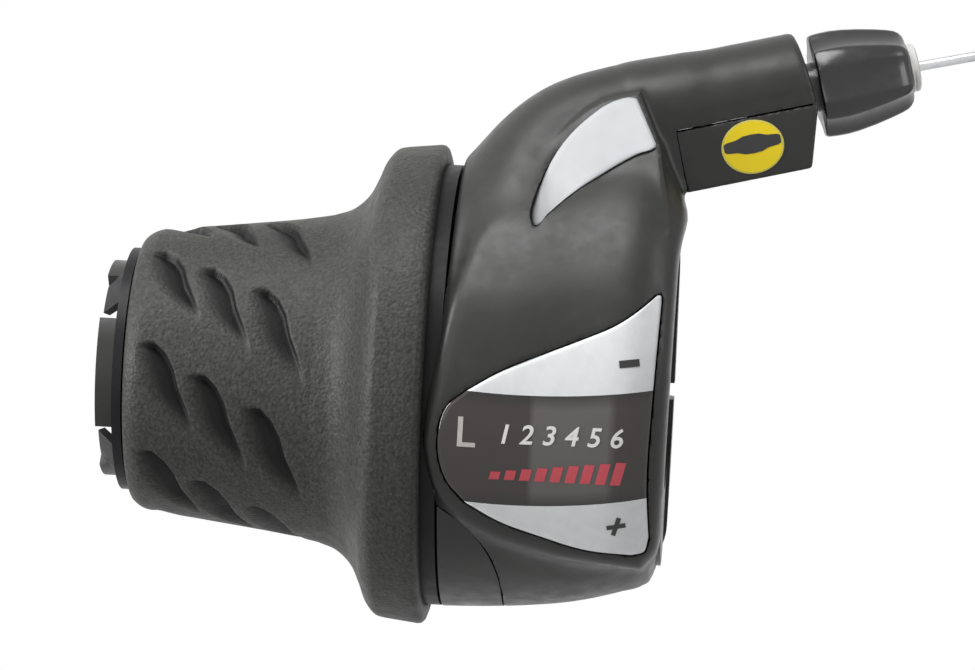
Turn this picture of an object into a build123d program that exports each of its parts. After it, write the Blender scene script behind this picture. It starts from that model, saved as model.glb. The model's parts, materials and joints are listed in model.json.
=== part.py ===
from build123d import *
import os
from math import cos, pi, radians, sin, tan

os.makedirs("parts", exist_ok=True)

# Frame: X runs along the handlebar, inboard is +X, the rider looks at the -Y side, Z is up.
# The origin is on the bar axis, in the plane where the twist grip meets the housing.

# Clearances
running_gap = 0.08
face_gap = 0.3
seam_gap = 0.15

# Fixed tube around the handlebar
bar_bore = 22.3
tube_wall = 1.8
tube_left = -41.6
notch_width = 6.8
notch_depth = 2.4
notch_count = 4

# Retaining collar with its snap claws
collar_width = 1.1
collar_wall = 1.6
claw_reach = 2.0
claw_arc = 20

# Twist grip: plastic sleeve and rubber cover
grip_left = -38.0
sleeve_wall = 1.9
ring_r = 26.35
ring_width = 1.9
hub_wall = 2.9
hub_right = 10.5
key_count = 4
key_width = 3.0
key_height = 1.4
lip_r = 15.6
lip_round = 2.2
grip_small_r = 16.9
grip_large_r = 19.5
flare_left = -15.5
flange_left = -9.4
flange_root_r = 25.6
flange_left_r = 28.1
flange_right_r = 28.8
flange_round = 1.9
flange_edge = 0.8
groove_count = 8
groove_depth = 1.15
groove_tilt = 7
groove_turn = 33
groove_bands = [(-33.4, 10), (-27.6, -12), (-21.6, 10)]
leaf_tail = (-1.2, -7.2)
leaf_back = (1.0, 0.0)
leaf_head = (2.4, 7.2)
leaf_belly = (-2.6, 0.5)

# Cable drum and friction stack
drum_left = 1.0
drum_r = 21.0
groove_x = 6.0
groove_half = 1.4
groove_floor_half = 0.8
wire_d = 1.2
wrap_r = 19.4
nipple_d = 4.0
nipple_length = 4.6
leave_angle = 35.0
wrap_arc = 30.0
disc_thick = 1.1
plate_thick = 1.0
spring_height = 1.7
spring_thick = 0.8
clip_thick = 1.0
clip_depth = 0.75
clip_r = 15.6

# Housing: drum shell, end wall and handlebar clamp
shell_r = 26.4
shell_wall = 2.8
shell_right = 26.0
shell_end_r = 18.0
room_left = -8.0
room_step = 13.0
room_right = 22.4
room_end_r = 20.4
wall_right = 25.6
split_y = 8.0
clamp_left = 16.2
clamp_wall = 3.6
clamp_slit = 2.0
lug_height = 7.0
lug_depth = 9.6
bolt_x = 20.2
bolt_d = 4.0
bolt_head_d = 7.0
bolt_head_h = 4.0
hex_key = 3.0
nut_size = 7.0
nut_height = 3.2
hole_room = 0.1
pocket_room = 0.15
tool_room = 0.4

# Hood: window face, cable arch and nose
window_thick = 1.5
window_proud = 0.15
card_thick = 0.4
window_deep = 12.0
prism_reach = 40.0
label_thick = 0.35
cowl_end_r = 7.1
cowl_bend_r = 7.4
cowl_end = 18.0
cowl_bend = 13.5
guide_bend = 10.0
corner_run = 21.7
nose_rise = 14.0
nose_yaw = 5.0
nose_length = 36.2
nose_half = 6.8
nose_top_r = 6.9
block_start = 18.5
block_lead = 4.0
block_top = 1.8
block_drop = 9.2
cover_round = 0.8
nose_screw_inset = 4.0
nose_screw_side = 4.2
nose_screw_reach = 11.0
sticker_inset = 8.9
sticker_drop = 5.4
sticker_wide = 7.7
sticker_high = 6.5
sticker_thick = 0.15
screw_d = 2.5
screw_head_d = 4.6
screw_head_h = 1.5
cover_screw_x = 18.6
cover_screw_z = 19.2
screw_length = 7.0
post_length = 8.5
boss_length = 3.6
boss_wall = 0.6
guide_start = 13.4
guide_d = 2.6
guide_bore = 1.7

# Barrel adjuster
stem_d = 5.9
stem_length = 8.0
stem_room = 10.5
knob_start = 1.0
knob_end = 12.2
knob_large_d = 12.5
knob_small_d = 9.8
knob_round = 1.0
flute_count = 6
flute_d = 14.0
flute_depth = 0.7
flute_lead = 1.0
seat_d = 5.9
seat_depth = 4.5
seat_proud = 1.0
wire_hole_d = 2.2
ring_section = 1.15
ring_depth = 1.35

# Free inner wire, put away in a coil
tail_run = 11.6
coil_r = 10.8
coil_half = 3.4
tie_width = 5.0
tie_wall = 0.9
coil_rise = 6.0

# Radii and places that follow from the sizes above
bore_r = bar_bore / 2
tube_r = bore_r + tube_wall
sleeve_in_r = tube_r + running_gap
sleeve_r = sleeve_in_r + sleeve_wall
ring_left = -face_gap - ring_width
hub_r = sleeve_in_r + hub_wall
collar_right = grip_left - face_gap
collar_left = collar_right - collar_width
collar_r = tube_r + collar_wall
disc_right = hub_right + disc_thick
plate_right = disc_right + plate_thick
spring_right = plate_right + spring_height
clip_right = spring_right + clip_thick
room_r = shell_r - shell_wall
clamp_r = tube_r + clamp_wall
bolt_y = tube_r + lug_depth / 2
boss_back = split_y + seam_gap + boss_length
groove_floor_r = wrap_r - wire_d / 2 - running_gap


def point_at(radius, angle):
    """Point in the drum's groove plane; angle 0 is the front, positive is upwards."""
    return Vector(groove_x, -radius * cos(radians(angle)), radius * sin(radians(angle)))


# Wire route: off the drum at leave_angle, through the arch, then along the nose
leave_point = point_at(wrap_r, leave_angle)
leave_way = Vector(0, sin(radians(leave_angle)), cos(radians(leave_angle)))
nipple_place = point_at(wrap_r, leave_angle - wrap_arc)
corner = leave_point + leave_way * corner_run
nose_way = Vector(
    cos(radians(nose_rise)) * cos(radians(nose_yaw)),
    cos(radians(nose_rise)) * sin(radians(nose_yaw)),
    sin(radians(nose_rise)),
)
nose_up = Vector(
    -sin(radians(nose_rise)) * cos(radians(nose_yaw)),
    -sin(radians(nose_rise)) * sin(radians(nose_yaw)),
    cos(radians(nose_rise)),
)
nose_side = nose_way.cross(nose_up)
nose_axis = Axis(corner, nose_way)
nose_plane = Plane(corner, x_dir=nose_way, z_dir=nose_side)
seat_out = nose_length + knob_end + seat_proud
flute_from = Vector(nose_length + knob_start - flute_lead, (knob_large_d + flute_d) / 2 - flute_depth, 0)
flute_drop = (knob_large_d - knob_small_d) / 2 / (knob_end - knob_start)
flute_way = nose_way - nose_up * flute_drop


def along_nose(distance):
    return corner + nose_way * distance


# Screw that holds the nose cover, put in from below beside the cable
nose_screw_foot = (
    along_nose(block_start + nose_screw_inset) - nose_side * nose_screw_side - nose_up * block_drop
)
nose_screw_plane = Plane(nose_screw_foot, x_dir=nose_way, z_dir=nose_up)


def across_nose(distance):
    return Plane(along_nose(distance), x_dir=-nose_side, z_dir=nose_way)


# Crown: round body whose skin is the housing's front face, wider and lower towards its right end
crown_sections = [
    (-2.6, 27.8, 0.0),
    (3.0, 28.2, 0.5),
    (10.0, 29.3, 1.7),
    (18.0, 31.1, 3.3),
    (23.6, 31.0, 4.0),
    (27.4, 28.4, 4.0),
]


def crown_body(grow):
    with BuildPart() as body:
        for section_x, radius, shift in crown_sections:
            with BuildSketch(Plane.YZ.offset(section_x)):
                with Locations((shift, shift / 2)):
                    Circle(radius + grow)
        loft()
    return body.part


def front_prism(outline, near, far):
    """Outline in X and Z carried through the depths near to far in front of the bar axis."""
    with BuildPart() as body:
        with BuildSketch(Plane.XZ.offset(near)):
            add(outline)
        extrude(amount=far - near)
    return body.part


# Outlines of the front, seen along +Y
def window_shape(grow):
    """Leaf outline of the window, moved outwards by grow."""
    upper = (2.8 - 0.8 * grow, 0.9 + 0.6 * grow)
    lower = (3.2 - 0.8 * grow, -11.9 - 0.6 * grow)
    tip = (24.4 + grow, 12.9 + 1.6 * grow)
    side = (24.2 + grow, -15.4)
    foot = (22.4, -17.3 - grow)
    with BuildSketch(mode=Mode.PRIVATE) as shape:
        with BuildLine():
            ThreePointArc(lower, (-grow, -5.4), upper)
            ThreePointArc(upper, (13.3 - 0.4 * grow, 6.4 + 0.9 * grow), tip)
            Line(tip, side)
            ThreePointArc(side, (23.7 + 0.7 * grow, -16.8 - 0.7 * grow), foot)
            ThreePointArc(foot, (12.1 + 0.2 * grow, -15.6 - grow), lower)
        make_face()
    return shape.sketch


with BuildSketch(mode=Mode.PRIVATE) as card_outline:
    with BuildLine():
        Polyline((3.6, 0.2), (22.6, 1.4), (22.4, -9.8), (4.2, -11.2), (1.8, -5.4), close=True)
    make_face()
    fillet(card_outline.vertices(), 1.0)

face_left = (-1.75, -5.4)
face_tip = (9.2, 19.4)
face_peak = (23.0, 29.4)
face_shoulder = (26.8, 21.6)
face_side = (26.1, 15.5)
face_foot = (25.7, -14.0)
face_toe = (23.6, -19.4)
with BuildSketch(mode=Mode.PRIVATE) as face_outline:
    with BuildLine():
        Spline(
            face_left,
            (-0.9, 0.2),
            (0.2, 7.4),
            (1.6, 13.6),
            (4.4, 18.6),
            face_tip,
            tangents=[(0, 1), (1, 0.25)],
        )
        Spline(face_tip, (12.1, 22.4), (16.5, 25.9), face_peak)
        Spline(face_peak, (25.5, 25.3), face_shoulder, face_side, tangents=[(0.6, -0.8), (0, -1)])
        Line(face_side, face_foot)
        Spline(face_foot, face_toe, tangents=[(0, -1), (-1, -0.1)])
        Spline(face_toe, (12.0, -17.8), (2.0, -13.4), face_left, tangents=[(-1, -0.05), (0, 1)])
    make_face()

# Hole in the drum shell behind the window, between the outlines of the window and the face
with BuildSketch(mode=Mode.PRIVATE) as face_hole:
    with BuildLine():
        Polyline(
            (-0.7, -5.4),
            (2.0, 1.8),
            (10.6, 6.8),
            (24.9, 14.4),
            (25.0, -17.3),
            (19.0, -18.3),
            (9.6, -16.1),
            (2.4, -12.6),
            close=True,
        )
    make_face()


def skirt_shape(grow):
    """Outline of the bracket's skirt below the window, moved outwards by grow."""
    tip = (1.0 + 0.6 * grow, -13.4 + 0.8 * grow)
    heel = (7.2 + grow, -23.4)
    with BuildSketch(mode=Mode.PRIVATE) as shape:
        with BuildLine():
            ThreePointArc(tip, (5.4 + 0.8 * grow, -17.7 + 0.6 * grow), heel)
            Polyline(heel, (7.2 + grow, -30), (-1 - grow, -30), (-1 - grow, -12 + grow), tip)
        make_face()
    return shape.sketch


# Label facet: a plane that leans back from the face's upper edge to the arch
facet_origin = Vector(9.2, -19.0, 19.4)
facet_plane = Plane(facet_origin, x_dir=(1, -0.1, 0.03), z_dir=(-0.1, -0.845, 0.525))


def on_facet(x, z):
    """Place on the facet that lies straight behind the point (x, z) of the front view."""
    normal = facet_plane.z_dir
    reach = normal.X * (x - facet_origin.X) + normal.Z * (z - facet_origin.Z)
    local = facet_plane.to_local_coords(Vector(x, facet_origin.Y - reach / normal.Y, z))
    return (local.X, local.Y)


def label_shape(grow):
    """Crescent of the label on the facet, moved outwards by grow."""
    tip = on_facet(9.5 - 0.4 * grow, 20.4 - 1.6 * grow)
    top = on_facet(20.0 + 0.2 * grow, 35.2 + grow)
    end = on_facet(22.7 + 1.2 * grow, 29.6)
    with BuildSketch(mode=Mode.PRIVATE) as shape:
        with BuildLine():
            ThreePointArc(tip, on_facet(12.0 - 0.8 * grow, 29.3 + 0.6 * grow), top)
            Line(top, end)
            ThreePointArc(end, on_facet(15.6 + 0.6 * grow, 25.5 - 0.8 * grow), tip)
        make_face()
    return shape.sketch


with BuildSketch(mode=Mode.PRIVATE) as shoulder_outline:
    with BuildLine():
        Spline((7.0, 13.0), (7.6, 22.0), (11.6, 30.6), (17.0, 35.6), (21.4, 37.0))
        Polyline((21.4, 37.0), (24.2, 29.6), (25.4, 20.0), (7.0, 13.0))
    make_face()

# Shell profile, shared by the hood and the bracket
with BuildSketch(Plane.XZ, mode=Mode.PRIVATE) as shell_profile:
    with BuildLine():
        Line((0, 0), (0, shell_r))
        Spline((0, shell_r), (9.0, shell_r - 0.5), (16.2, shell_r - 1.6), (23.2, shell_r - 3.9))
        Spline((23.2, shell_r - 3.9), (25.2, shell_r - 5.6), (shell_right, shell_end_r))
        Polyline((shell_right, shell_end_r), (shell_right, 0), (0, 0))
    make_face()

with BuildSketch(Plane.XZ, mode=Mode.PRIVATE) as room_profile:
    with BuildLine():
        Polyline(
            (room_left, 0),
            (room_left, ring_r + face_gap),
            (0, ring_r + face_gap),
            (0, room_r),
            (room_step, room_r),
            (room_right, room_end_r),
            (shell_right + 2, room_end_r),
            (shell_right + 2, 0),
            close=True,
        )
    make_face()

with BuildPart() as shell_body:
    add(shell_profile.sketch)
    revolve(axis=Axis.X)

with BuildPart() as room_body:
    add(room_profile.sketch)
    revolve(axis=Axis.X)

# Main bracket: tube, clamp, end wall and the rear half of the drum shell
with BuildPart() as rear_shell:
    add(shell_body.part)
    add(room_body.part, mode=Mode.SUBTRACT)
    split(bisect_by=Plane.XZ.offset(-split_y), keep=Keep.BOTTOM)

with BuildPart() as rear_wall:
    add(shell_body.part)
    split(bisect_by=Plane.XZ.offset(-split_y), keep=Keep.BOTTOM)
    split(bisect_by=Plane.YZ.offset(room_right), keep=Keep.TOP)

with BuildPart() as skirt:
    add(shell_body.part)
    add(room_body.part, mode=Mode.SUBTRACT)
    add(front_prism(skirt_shape(0), -split_y, prism_reach), mode=Mode.INTERSECT)

# Clamp lugs behind the bar, kept inside the shell
with BuildPart() as lugs:
    with BuildSketch(Plane.YZ.offset(clamp_left)):
        with Locations((tube_r, 0)):
            Rectangle(lug_depth, 2 * lug_height, align=(Align.MIN, Align.CENTER))
    extrude(amount=wall_right - clamp_left)
    add(shell_body.part, mode=Mode.INTERSECT)

with BuildPart() as bracket:
    with BuildSketch(Plane.XZ):
        with BuildLine():
            Polyline(
                (tube_left, bore_r),
                (tube_left, tube_r),
                (spring_right, tube_r),
                (spring_right, tube_r - clip_depth),
                (clip_right, tube_r - clip_depth),
                (clip_right, tube_r),
                (clamp_left, tube_r),
                (clamp_left, clamp_r),
                (room_right, clamp_r),
                (room_right, room_end_r - seam_gap),
                (wall_right, room_end_r - seam_gap),
                (wall_right, bore_r),
                close=True,
            )
        make_face()
    revolve(axis=Axis.X)
    add(rear_shell.part)
    add(rear_wall.part)
    add(skirt.part)
    add(lugs.part)
    # Bosses for the two cover screws
    with BuildSketch(Plane.XZ.offset(-split_y - seam_gap)):
        with Locations((cover_screw_x, cover_screw_z), (cover_screw_x, -cover_screw_z)):
            Circle(screw_head_d / 2 + boss_wall)
    extrude(amount=-boss_length)
    # Handlebar bore and clamp slit
    with BuildSketch(Plane.YZ.offset(tube_left)):
        Circle(bore_r)
    extrude(amount=shell_right - tube_left, mode=Mode.SUBTRACT)
    with BuildSketch(Plane.YZ.offset(clamp_left - 1)):
        with Locations((bore_r - 1, 0)):
            Rectangle(lug_depth + tube_wall + 2, clamp_slit, align=(Align.MIN, Align.CENTER))
    extrude(amount=shell_right - clamp_left + 1, mode=Mode.SUBTRACT)
    # Bolt hole, nut pocket and the way in for the hex key
    with BuildSketch(Plane.XY.offset(-shell_r - 2)):
        with Locations((bolt_x, bolt_y)):
            Circle(bolt_head_d / 2 + tool_room)
    extrude(amount=shell_r + 2 - lug_height, mode=Mode.SUBTRACT)
    with BuildSketch(Plane.XY.offset(-lug_height)):
        with Locations((bolt_x, bolt_y)):
            Circle(bolt_d / 2 + hole_room)
    extrude(amount=2 * lug_height, mode=Mode.SUBTRACT)
    with BuildSketch(Plane.XY.offset(lug_height - nut_height)):
        with Locations((bolt_x, bolt_y)):
            Rectangle(nut_size + 2 * pocket_room, nut_size + 2 * pocket_room)
    extrude(amount=nut_height + pocket_room, mode=Mode.SUBTRACT)
    # Notches in the outer end of the tube for the collar's claws
    for notch in range(notch_count):
        with BuildSketch(Plane.XY.rotated((45 + 360 / notch_count * notch, 0, 0)).offset(bore_r - 2)):
            with Locations((tube_left + notch_depth / 2, 0)):
                Rectangle(notch_depth, notch_width)
        extrude(amount=tube_wall + 4, mode=Mode.SUBTRACT)
    # Screw holes with seats for the heads
    with BuildSketch(Plane.XZ.offset(-boss_back)):
        with Locations((cover_screw_x, cover_screw_z), (cover_screw_x, -cover_screw_z)):
            Circle(screw_d / 2 + hole_room)
    extrude(amount=boss_length + 2 * seam_gap, mode=Mode.SUBTRACT)
    with BuildSketch(Plane.XZ.offset(-boss_back)):
        with Locations((cover_screw_x, cover_screw_z), (cover_screw_x, -cover_screw_z)):
            Circle(screw_head_d / 2 + pocket_room)
    extrude(amount=screw_head_h + running_gap, mode=Mode.SUBTRACT)
bracket.part.label = "main_bracket"
export_step(bracket.part, "parts/main_bracket.step")

# Seats of the window and the card, down to their own floors under the crown's skin
with BuildPart() as window_seat:
    with BuildSketch(Plane.XZ.offset(window_deep)):
        add(window_shape(seam_gap))
    extrude(amount=prism_reach)
    add(crown_body(window_proud - window_thick), mode=Mode.SUBTRACT)

with BuildPart() as card_seat:
    with BuildSketch(Plane.XZ.offset(window_deep)):
        add(card_outline.sketch)
        offset(amount=seam_gap)
    extrude(amount=prism_reach)
    add(crown_body(window_proud - window_thick - card_thick), mode=Mode.SUBTRACT)

# Hood: front half of the shell, window face, label shoulder, cable arch and nose
with BuildPart() as face_body:
    add(crown_body(0))
    add(front_prism(face_outline.sketch, 4, prism_reach), mode=Mode.INTERSECT)
    add(window_seat.part, mode=Mode.SUBTRACT)
    add(card_seat.part, mode=Mode.SUBTRACT)

with BuildPart() as shoulder:
    add(front_prism(shoulder_outline.sketch, 0, 30))
    split(bisect_by=facet_plane, keep=Keep.BOTTOM)

# Cowl: rings that shrink from the window face up to the nose
cowl_rings = [
    (Vector(9.0, -12.0, 6.0), Vector(0, 0.25, 1), 13.6),
    (Vector(8.6, -9.5, 15.0), Vector(0.05, 0.35, 1), 11.6),
    (Vector(9.6, -5.6, 23.4), Vector(0.45, 0.4, 1), 9.5),
    (Vector(13.2, -3.2, 29.3), Vector(0.9, 0.2, 0.5), 8.0),
    (along_nose(cowl_bend), nose_way, cowl_bend_r),
    (along_nose(cowl_end), nose_way, cowl_end_r),
]
with BuildPart() as cowl:
    for place, way, radius in cowl_rings:
        with BuildSketch(Plane(place, z_dir=way)):
            Circle(radius)
    loft()

with BuildPart() as label_recess:
    with BuildSketch(facet_plane):
        add(label_shape(seam_gap))
    extrude(amount=prism_reach / 2)

with BuildPart() as nose:
    with BuildSketch(across_nose(block_start - block_lead)):
        with BuildLine():
            ThreePointArc((-nose_half, 0), (0, nose_top_r), (nose_half, 0))
            Polyline((nose_half, 0), (nose_half, -block_drop), (-nose_half, -block_drop), (-nose_half, 0))
        make_face()
    extrude(amount=nose_length - block_start + block_lead)

with BuildPart() as hood:
    add(shell_body.part)
    split(bisect_by=Plane.XZ.offset(-split_y), keep=Keep.TOP)
    add(front_prism(face_hole.sketch, window_deep, prism_reach), mode=Mode.SUBTRACT)
    add(face_body.part)
    add(shoulder.part)
    add(cowl.part)
    add(nose.part)
    add(label_recess.part, mode=Mode.SUBTRACT)
    # Inside: room for the drum, cable way, adjuster bore and the seat of the nose cover
    add(room_body.part, mode=Mode.SUBTRACT)
    # Posts for the cover screws
    with BuildSketch(Plane.XZ.offset(-split_y)):
        with Locations((cover_screw_x, cover_screw_z), (cover_screw_x, -cover_screw_z)):
            Circle(screw_head_d / 2)
    extrude(amount=post_length)
    with BuildSketch(Plane.XZ.offset(-split_y)):
        with Locations((cover_screw_x, cover_screw_z), (cover_screw_x, -cover_screw_z)):
            Circle(screw_d / 2 + seam_gap)
    extrude(amount=screw_length, mode=Mode.SUBTRACT)
    way_start = leave_point + leave_way * (guide_start - guide_d)
    with BuildLine() as cable_way:
        FilletPolyline(
            way_start,
            corner,
            along_nose(nose_length - stem_room + 1),
            radius=guide_bend,
        )
    with BuildSketch(Plane(way_start, z_dir=leave_way)):
        Circle(guide_d / 2 + seam_gap)
    sweep(path=cable_way.line, mode=Mode.SUBTRACT)
    with BuildSketch(across_nose(nose_length - stem_room)):
        Circle(stem_d / 2 + running_gap)
    extrude(amount=stem_room, mode=Mode.SUBTRACT)
    with BuildSketch(across_nose(nose_length - ring_depth)):
        Circle(stem_d / 2 + running_gap + ring_section)
    extrude(amount=ring_depth, mode=Mode.SUBTRACT)
    with BuildSketch(across_nose(block_start)):
        with Locations((0, -block_top)):
            Rectangle(2 * nose_half + 2, 20, align=(Align.CENTER, Align.MAX))
    extrude(amount=nose_length - block_start + 1, mode=Mode.SUBTRACT)
    with BuildSketch(nose_screw_plane):
        Circle(screw_d / 2 + seam_gap)
    extrude(amount=nose_screw_reach, mode=Mode.SUBTRACT)
    # Gap along the bracket's skirt
    add(front_prism(skirt_shape(seam_gap), -split_y, prism_reach), mode=Mode.SUBTRACT)
hood.part.label = "hood"
export_step(hood.part, "parts/hood.step")


# Nose cover: the block under the nose that closes the cable's way
with BuildPart() as nose_cover:
    block_height = block_drop - block_top - seam_gap
    with BuildSketch(across_nose(block_start + seam_gap)):
        with Locations((0, -block_drop)):
            Rectangle(2 * nose_half, block_height, align=(Align.CENTER, Align.MIN))
    extrude(amount=nose_length - block_start - seam_gap)
    fillet(nose_cover.edges().filter_by(nose_axis).group_by(Axis.Z)[0], cover_round)
    with BuildSketch(nose_screw_plane):
        Circle(screw_d / 2 + hole_room)
    extrude(amount=nose_screw_reach, mode=Mode.SUBTRACT)
    with BuildSketch(nose_screw_plane):
        Circle(screw_head_d / 2 + pocket_room)
    extrude(amount=screw_head_h + running_gap, mode=Mode.SUBTRACT)
    with BuildSketch(across_nose(nose_length - ring_depth - 1)):
        Circle(stem_d / 2 + running_gap + ring_section)
    extrude(amount=ring_depth + 1, mode=Mode.SUBTRACT)
    with BuildSketch(across_nose(nose_length - stem_room)):
        Circle(stem_d / 2 + running_gap)
    extrude(amount=stem_room, mode=Mode.SUBTRACT)
nose_cover.part.label = "nose_cover"
export_step(nose_cover.part, "parts/nose_cover.step")

with BuildPart() as window:
    with BuildSketch(Plane.XZ.offset(window_deep)):
        add(window_shape(0))
    extrude(amount=prism_reach)
    add(crown_body(window_proud), mode=Mode.INTERSECT)
    add(crown_body(window_proud - window_thick), mode=Mode.SUBTRACT)
window.part.label = "window_lens"
export_step(window.part, "parts/window_lens.step")

with BuildPart() as card:
    with BuildSketch(Plane.XZ.offset(window_deep)):
        add(card_outline.sketch)
    extrude(amount=prism_reach)
    add(crown_body(window_proud - window_thick), mode=Mode.INTERSECT)
    add(crown_body(window_proud - window_thick - card_thick), mode=Mode.SUBTRACT)
card.part.label = "indicator_card"
export_step(card.part, "parts/indicator_card.step")

with BuildPart() as label:
    with BuildSketch(facet_plane):
        add(label_shape(0))
    extrude(amount=label_thick)
label.part.label = "hood_label"
export_step(label.part, "parts/hood_label.step")

with BuildPart() as sticker:
    with BuildSketch(nose_plane.offset(nose_half)):
        with Locations((nose_length - sticker_inset, -sticker_drop)):
            Ellipse(sticker_wide / 2, sticker_high / 2)
    extrude(amount=sticker_thick)
sticker.part.label = "round_sticker"
export_step(sticker.part, "parts/round_sticker.step")

# Twist grip: sleeve with its ring and keyed hub
with BuildPart() as sleeve:
    with BuildSketch(Plane.XZ):
        with BuildLine():
            Polyline(
                (grip_left, sleeve_in_r),
                (grip_left, sleeve_r),
                (ring_left, sleeve_r),
                (ring_left, ring_r),
                (-face_gap, ring_r),
                (-face_gap, hub_r),
                (hub_right, hub_r),
                (hub_right, sleeve_in_r),
                close=True,
            )
        make_face()
    revolve(axis=Axis.X)
    with BuildSketch(Plane.YZ.offset(drum_left)):
        with PolarLocations(hub_r, key_count):
            Rectangle(2 * key_height, key_width)
    extrude(amount=hub_right - drum_left)
sleeve.part.label = "grip_sleeve"
export_step(sleeve.part, "parts/grip_sleeve.step")

# Rubber cover: turned profile with three bands of slanted leaf grooves
with BuildPart() as rubber:
    with BuildSketch(Plane.XZ):
        with BuildLine():
            Polyline((ring_left, sleeve_r), (grip_left, sleeve_r), (grip_left, lip_r))
            lip = Spline(
                (grip_left, lip_r),
                (grip_left + lip_round, grip_small_r),
                tangents=[(0.3, 1), (1, 0.1)],
            )
            Line(lip @ 1, (flare_left, grip_large_r))
            flare = Spline(
                (flare_left, grip_large_r),
                (flange_left, flange_root_r),
                tangents=[(1, 0.13), (0.45, 1)],
            )
            brow = Spline(
                flare @ 1,
                (flange_left + flange_round, flange_left_r),
                tangents=[(0.45, 1), (1, 0.16)],
            )
            Polyline(
                brow @ 1,
                (ring_left - flange_edge, flange_right_r),
                (ring_left, ring_r + flange_edge),
                (ring_left, sleeve_r),
            )
        make_face()
    revolve(axis=Axis.X)
    for band_x, band_turn in groove_bands:
        slope = (grip_large_r - grip_small_r) / (flare_left - grip_left - lip_round)
        band_r = grip_small_r + slope * (band_x - grip_left - lip_round)
        for leaf in range(groove_count):
            seat = Plane.XY.rotated((band_turn + 360 / groove_count * leaf, 0, 0))
            floor = Plane(
                seat.from_local_coords(Vector(band_x, 0, band_r - groove_depth)),
                x_dir=seat.x_dir,
                z_dir=seat.z_dir,
            ).rotated((0, 0, groove_turn)).rotated((0, groove_tilt, 0))
            with BuildSketch(floor):
                with BuildLine():
                    Spline(leaf_tail, leaf_back, leaf_head)
                    Spline(leaf_head, leaf_belly, leaf_tail)
                make_face()
            extrude(amount=6, mode=Mode.SUBTRACT)
rubber.part.label = "grip_rubber"
export_step(rubber.part, "parts/grip_rubber.step")

# Cable drum, keyed to the sleeve's hub
with BuildPart() as drum:
    with BuildSketch(Plane.XZ):
        with BuildLine():
            Polyline(
                (drum_left, hub_r),
                (drum_left, drum_r),
                (groove_x - groove_half, drum_r),
                (groove_x - groove_floor_half, groove_floor_r),
                (groove_x + groove_floor_half, groove_floor_r),
                (groove_x + groove_half, drum_r),
                (hub_right, drum_r),
                (hub_right, hub_r),
                close=True,
            )
        make_face()
    revolve(axis=Axis.X)
    with BuildSketch(Plane.YZ.offset(drum_left)):
        with PolarLocations(hub_r, key_count):
            Rectangle(2 * key_height, key_width)
    extrude(amount=hub_right - drum_left, mode=Mode.SUBTRACT)
    with BuildSketch(Plane.YZ.offset(groove_x - nipple_length / 2)):
        with Locations((nipple_place.Y, nipple_place.Z)):
            Circle(nipple_d / 2 + 0.05)
    extrude(amount=hub_right - groove_x + nipple_length / 2, mode=Mode.SUBTRACT)
drum.part.label = "cable_drum"
export_step(drum.part, "parts/cable_drum.step")

with BuildPart() as wrap:
    with BuildLine() as wrap_line:
        ThreePointArc(
            nipple_place,
            point_at(wrap_r, leave_angle - wrap_arc / 2),
            point_at(wrap_r, leave_angle - 0.5),
        )
    with BuildSketch(Plane(nipple_place, z_dir=wrap_line.line % 0)):
        Circle(wire_d / 2)
    sweep(path=wrap_line.line)
    with BuildSketch(Plane.YZ.offset(groove_x - nipple_length / 2)):
        with Locations((nipple_place.Y, nipple_place.Z)):
            Circle(nipple_d / 2)
    extrude(amount=nipple_length)
wrap.part.label = "cable_nipple"
export_step(wrap.part, "parts/cable_nipple.step")


def washer(left, right, inner, outer):
    with BuildPart() as body:
        with BuildSketch(Plane.YZ.offset(left)):
            Circle(outer)
            Circle(inner, mode=Mode.SUBTRACT)
        extrude(amount=right - left)
    return body.part


# Friction stack between the drum and the clamp
with BuildPart() as friction_disc:
    add(washer(hub_right, disc_right, tube_r + 0.6, drum_r))
friction_disc.part.label = "friction_disc"
export_step(friction_disc.part, "parts/friction_disc.step")

with BuildPart() as plate:
    add(washer(disc_right, plate_right, tube_r + running_gap, drum_r))
plate.part.label = "pressure_plate"
export_step(plate.part, "parts/pressure_plate.step")

with BuildPart() as disc_spring:
    with BuildSketch(Plane.XZ):
        with BuildLine():
            Polyline(
                (plate_right, drum_r - 0.6),
                (plate_right + spring_thick, drum_r - 0.4),
                (spring_right, tube_r + 1.2),
                (spring_right - spring_thick, tube_r + 1.0),
                close=True,
            )
        make_face()
    revolve(axis=Axis.X)
disc_spring.part.label = "disc_spring"
export_step(disc_spring.part, "parts/disc_spring.step")

with BuildPart() as clip:
    add(washer(spring_right, clip_right, tube_r - clip_depth + running_gap, clip_r))
    with BuildSketch(Plane.YZ.offset(spring_right)):
        Rectangle(notch_width, clip_r + 1, align=(Align.CENTER, Align.MAX))
    extrude(amount=clip_thick, mode=Mode.SUBTRACT)
clip.part.label = "retaining_clip"
export_step(clip.part, "parts/retaining_clip.step")

# Retaining collar at the outer end, with claws that hook into the tube's notches
with BuildPart() as collar:
    add(washer(collar_left, collar_right, tube_r + running_gap, collar_r))
    for claw in range(notch_count):
        turn = 45 + 360 / notch_count * claw
        with BuildSketch(Plane.XZ.rotated((turn - 90 - claw_arc / 2, 0, 0))):
            with BuildLine():
                Polyline(
                    (collar_left, tube_r + running_gap),
                    (collar_left, collar_r),
                    (collar_left - claw_reach, bore_r + tube_wall / 2),
                    (collar_left - claw_reach + 0.7, bore_r + 0.4),
                    close=True,
                )
            make_face()
        revolve(axis=Axis.X, revolution_arc=claw_arc)
collar.part.label = "retaining_collar"
export_step(collar.part, "parts/retaining_collar.step")

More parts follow.
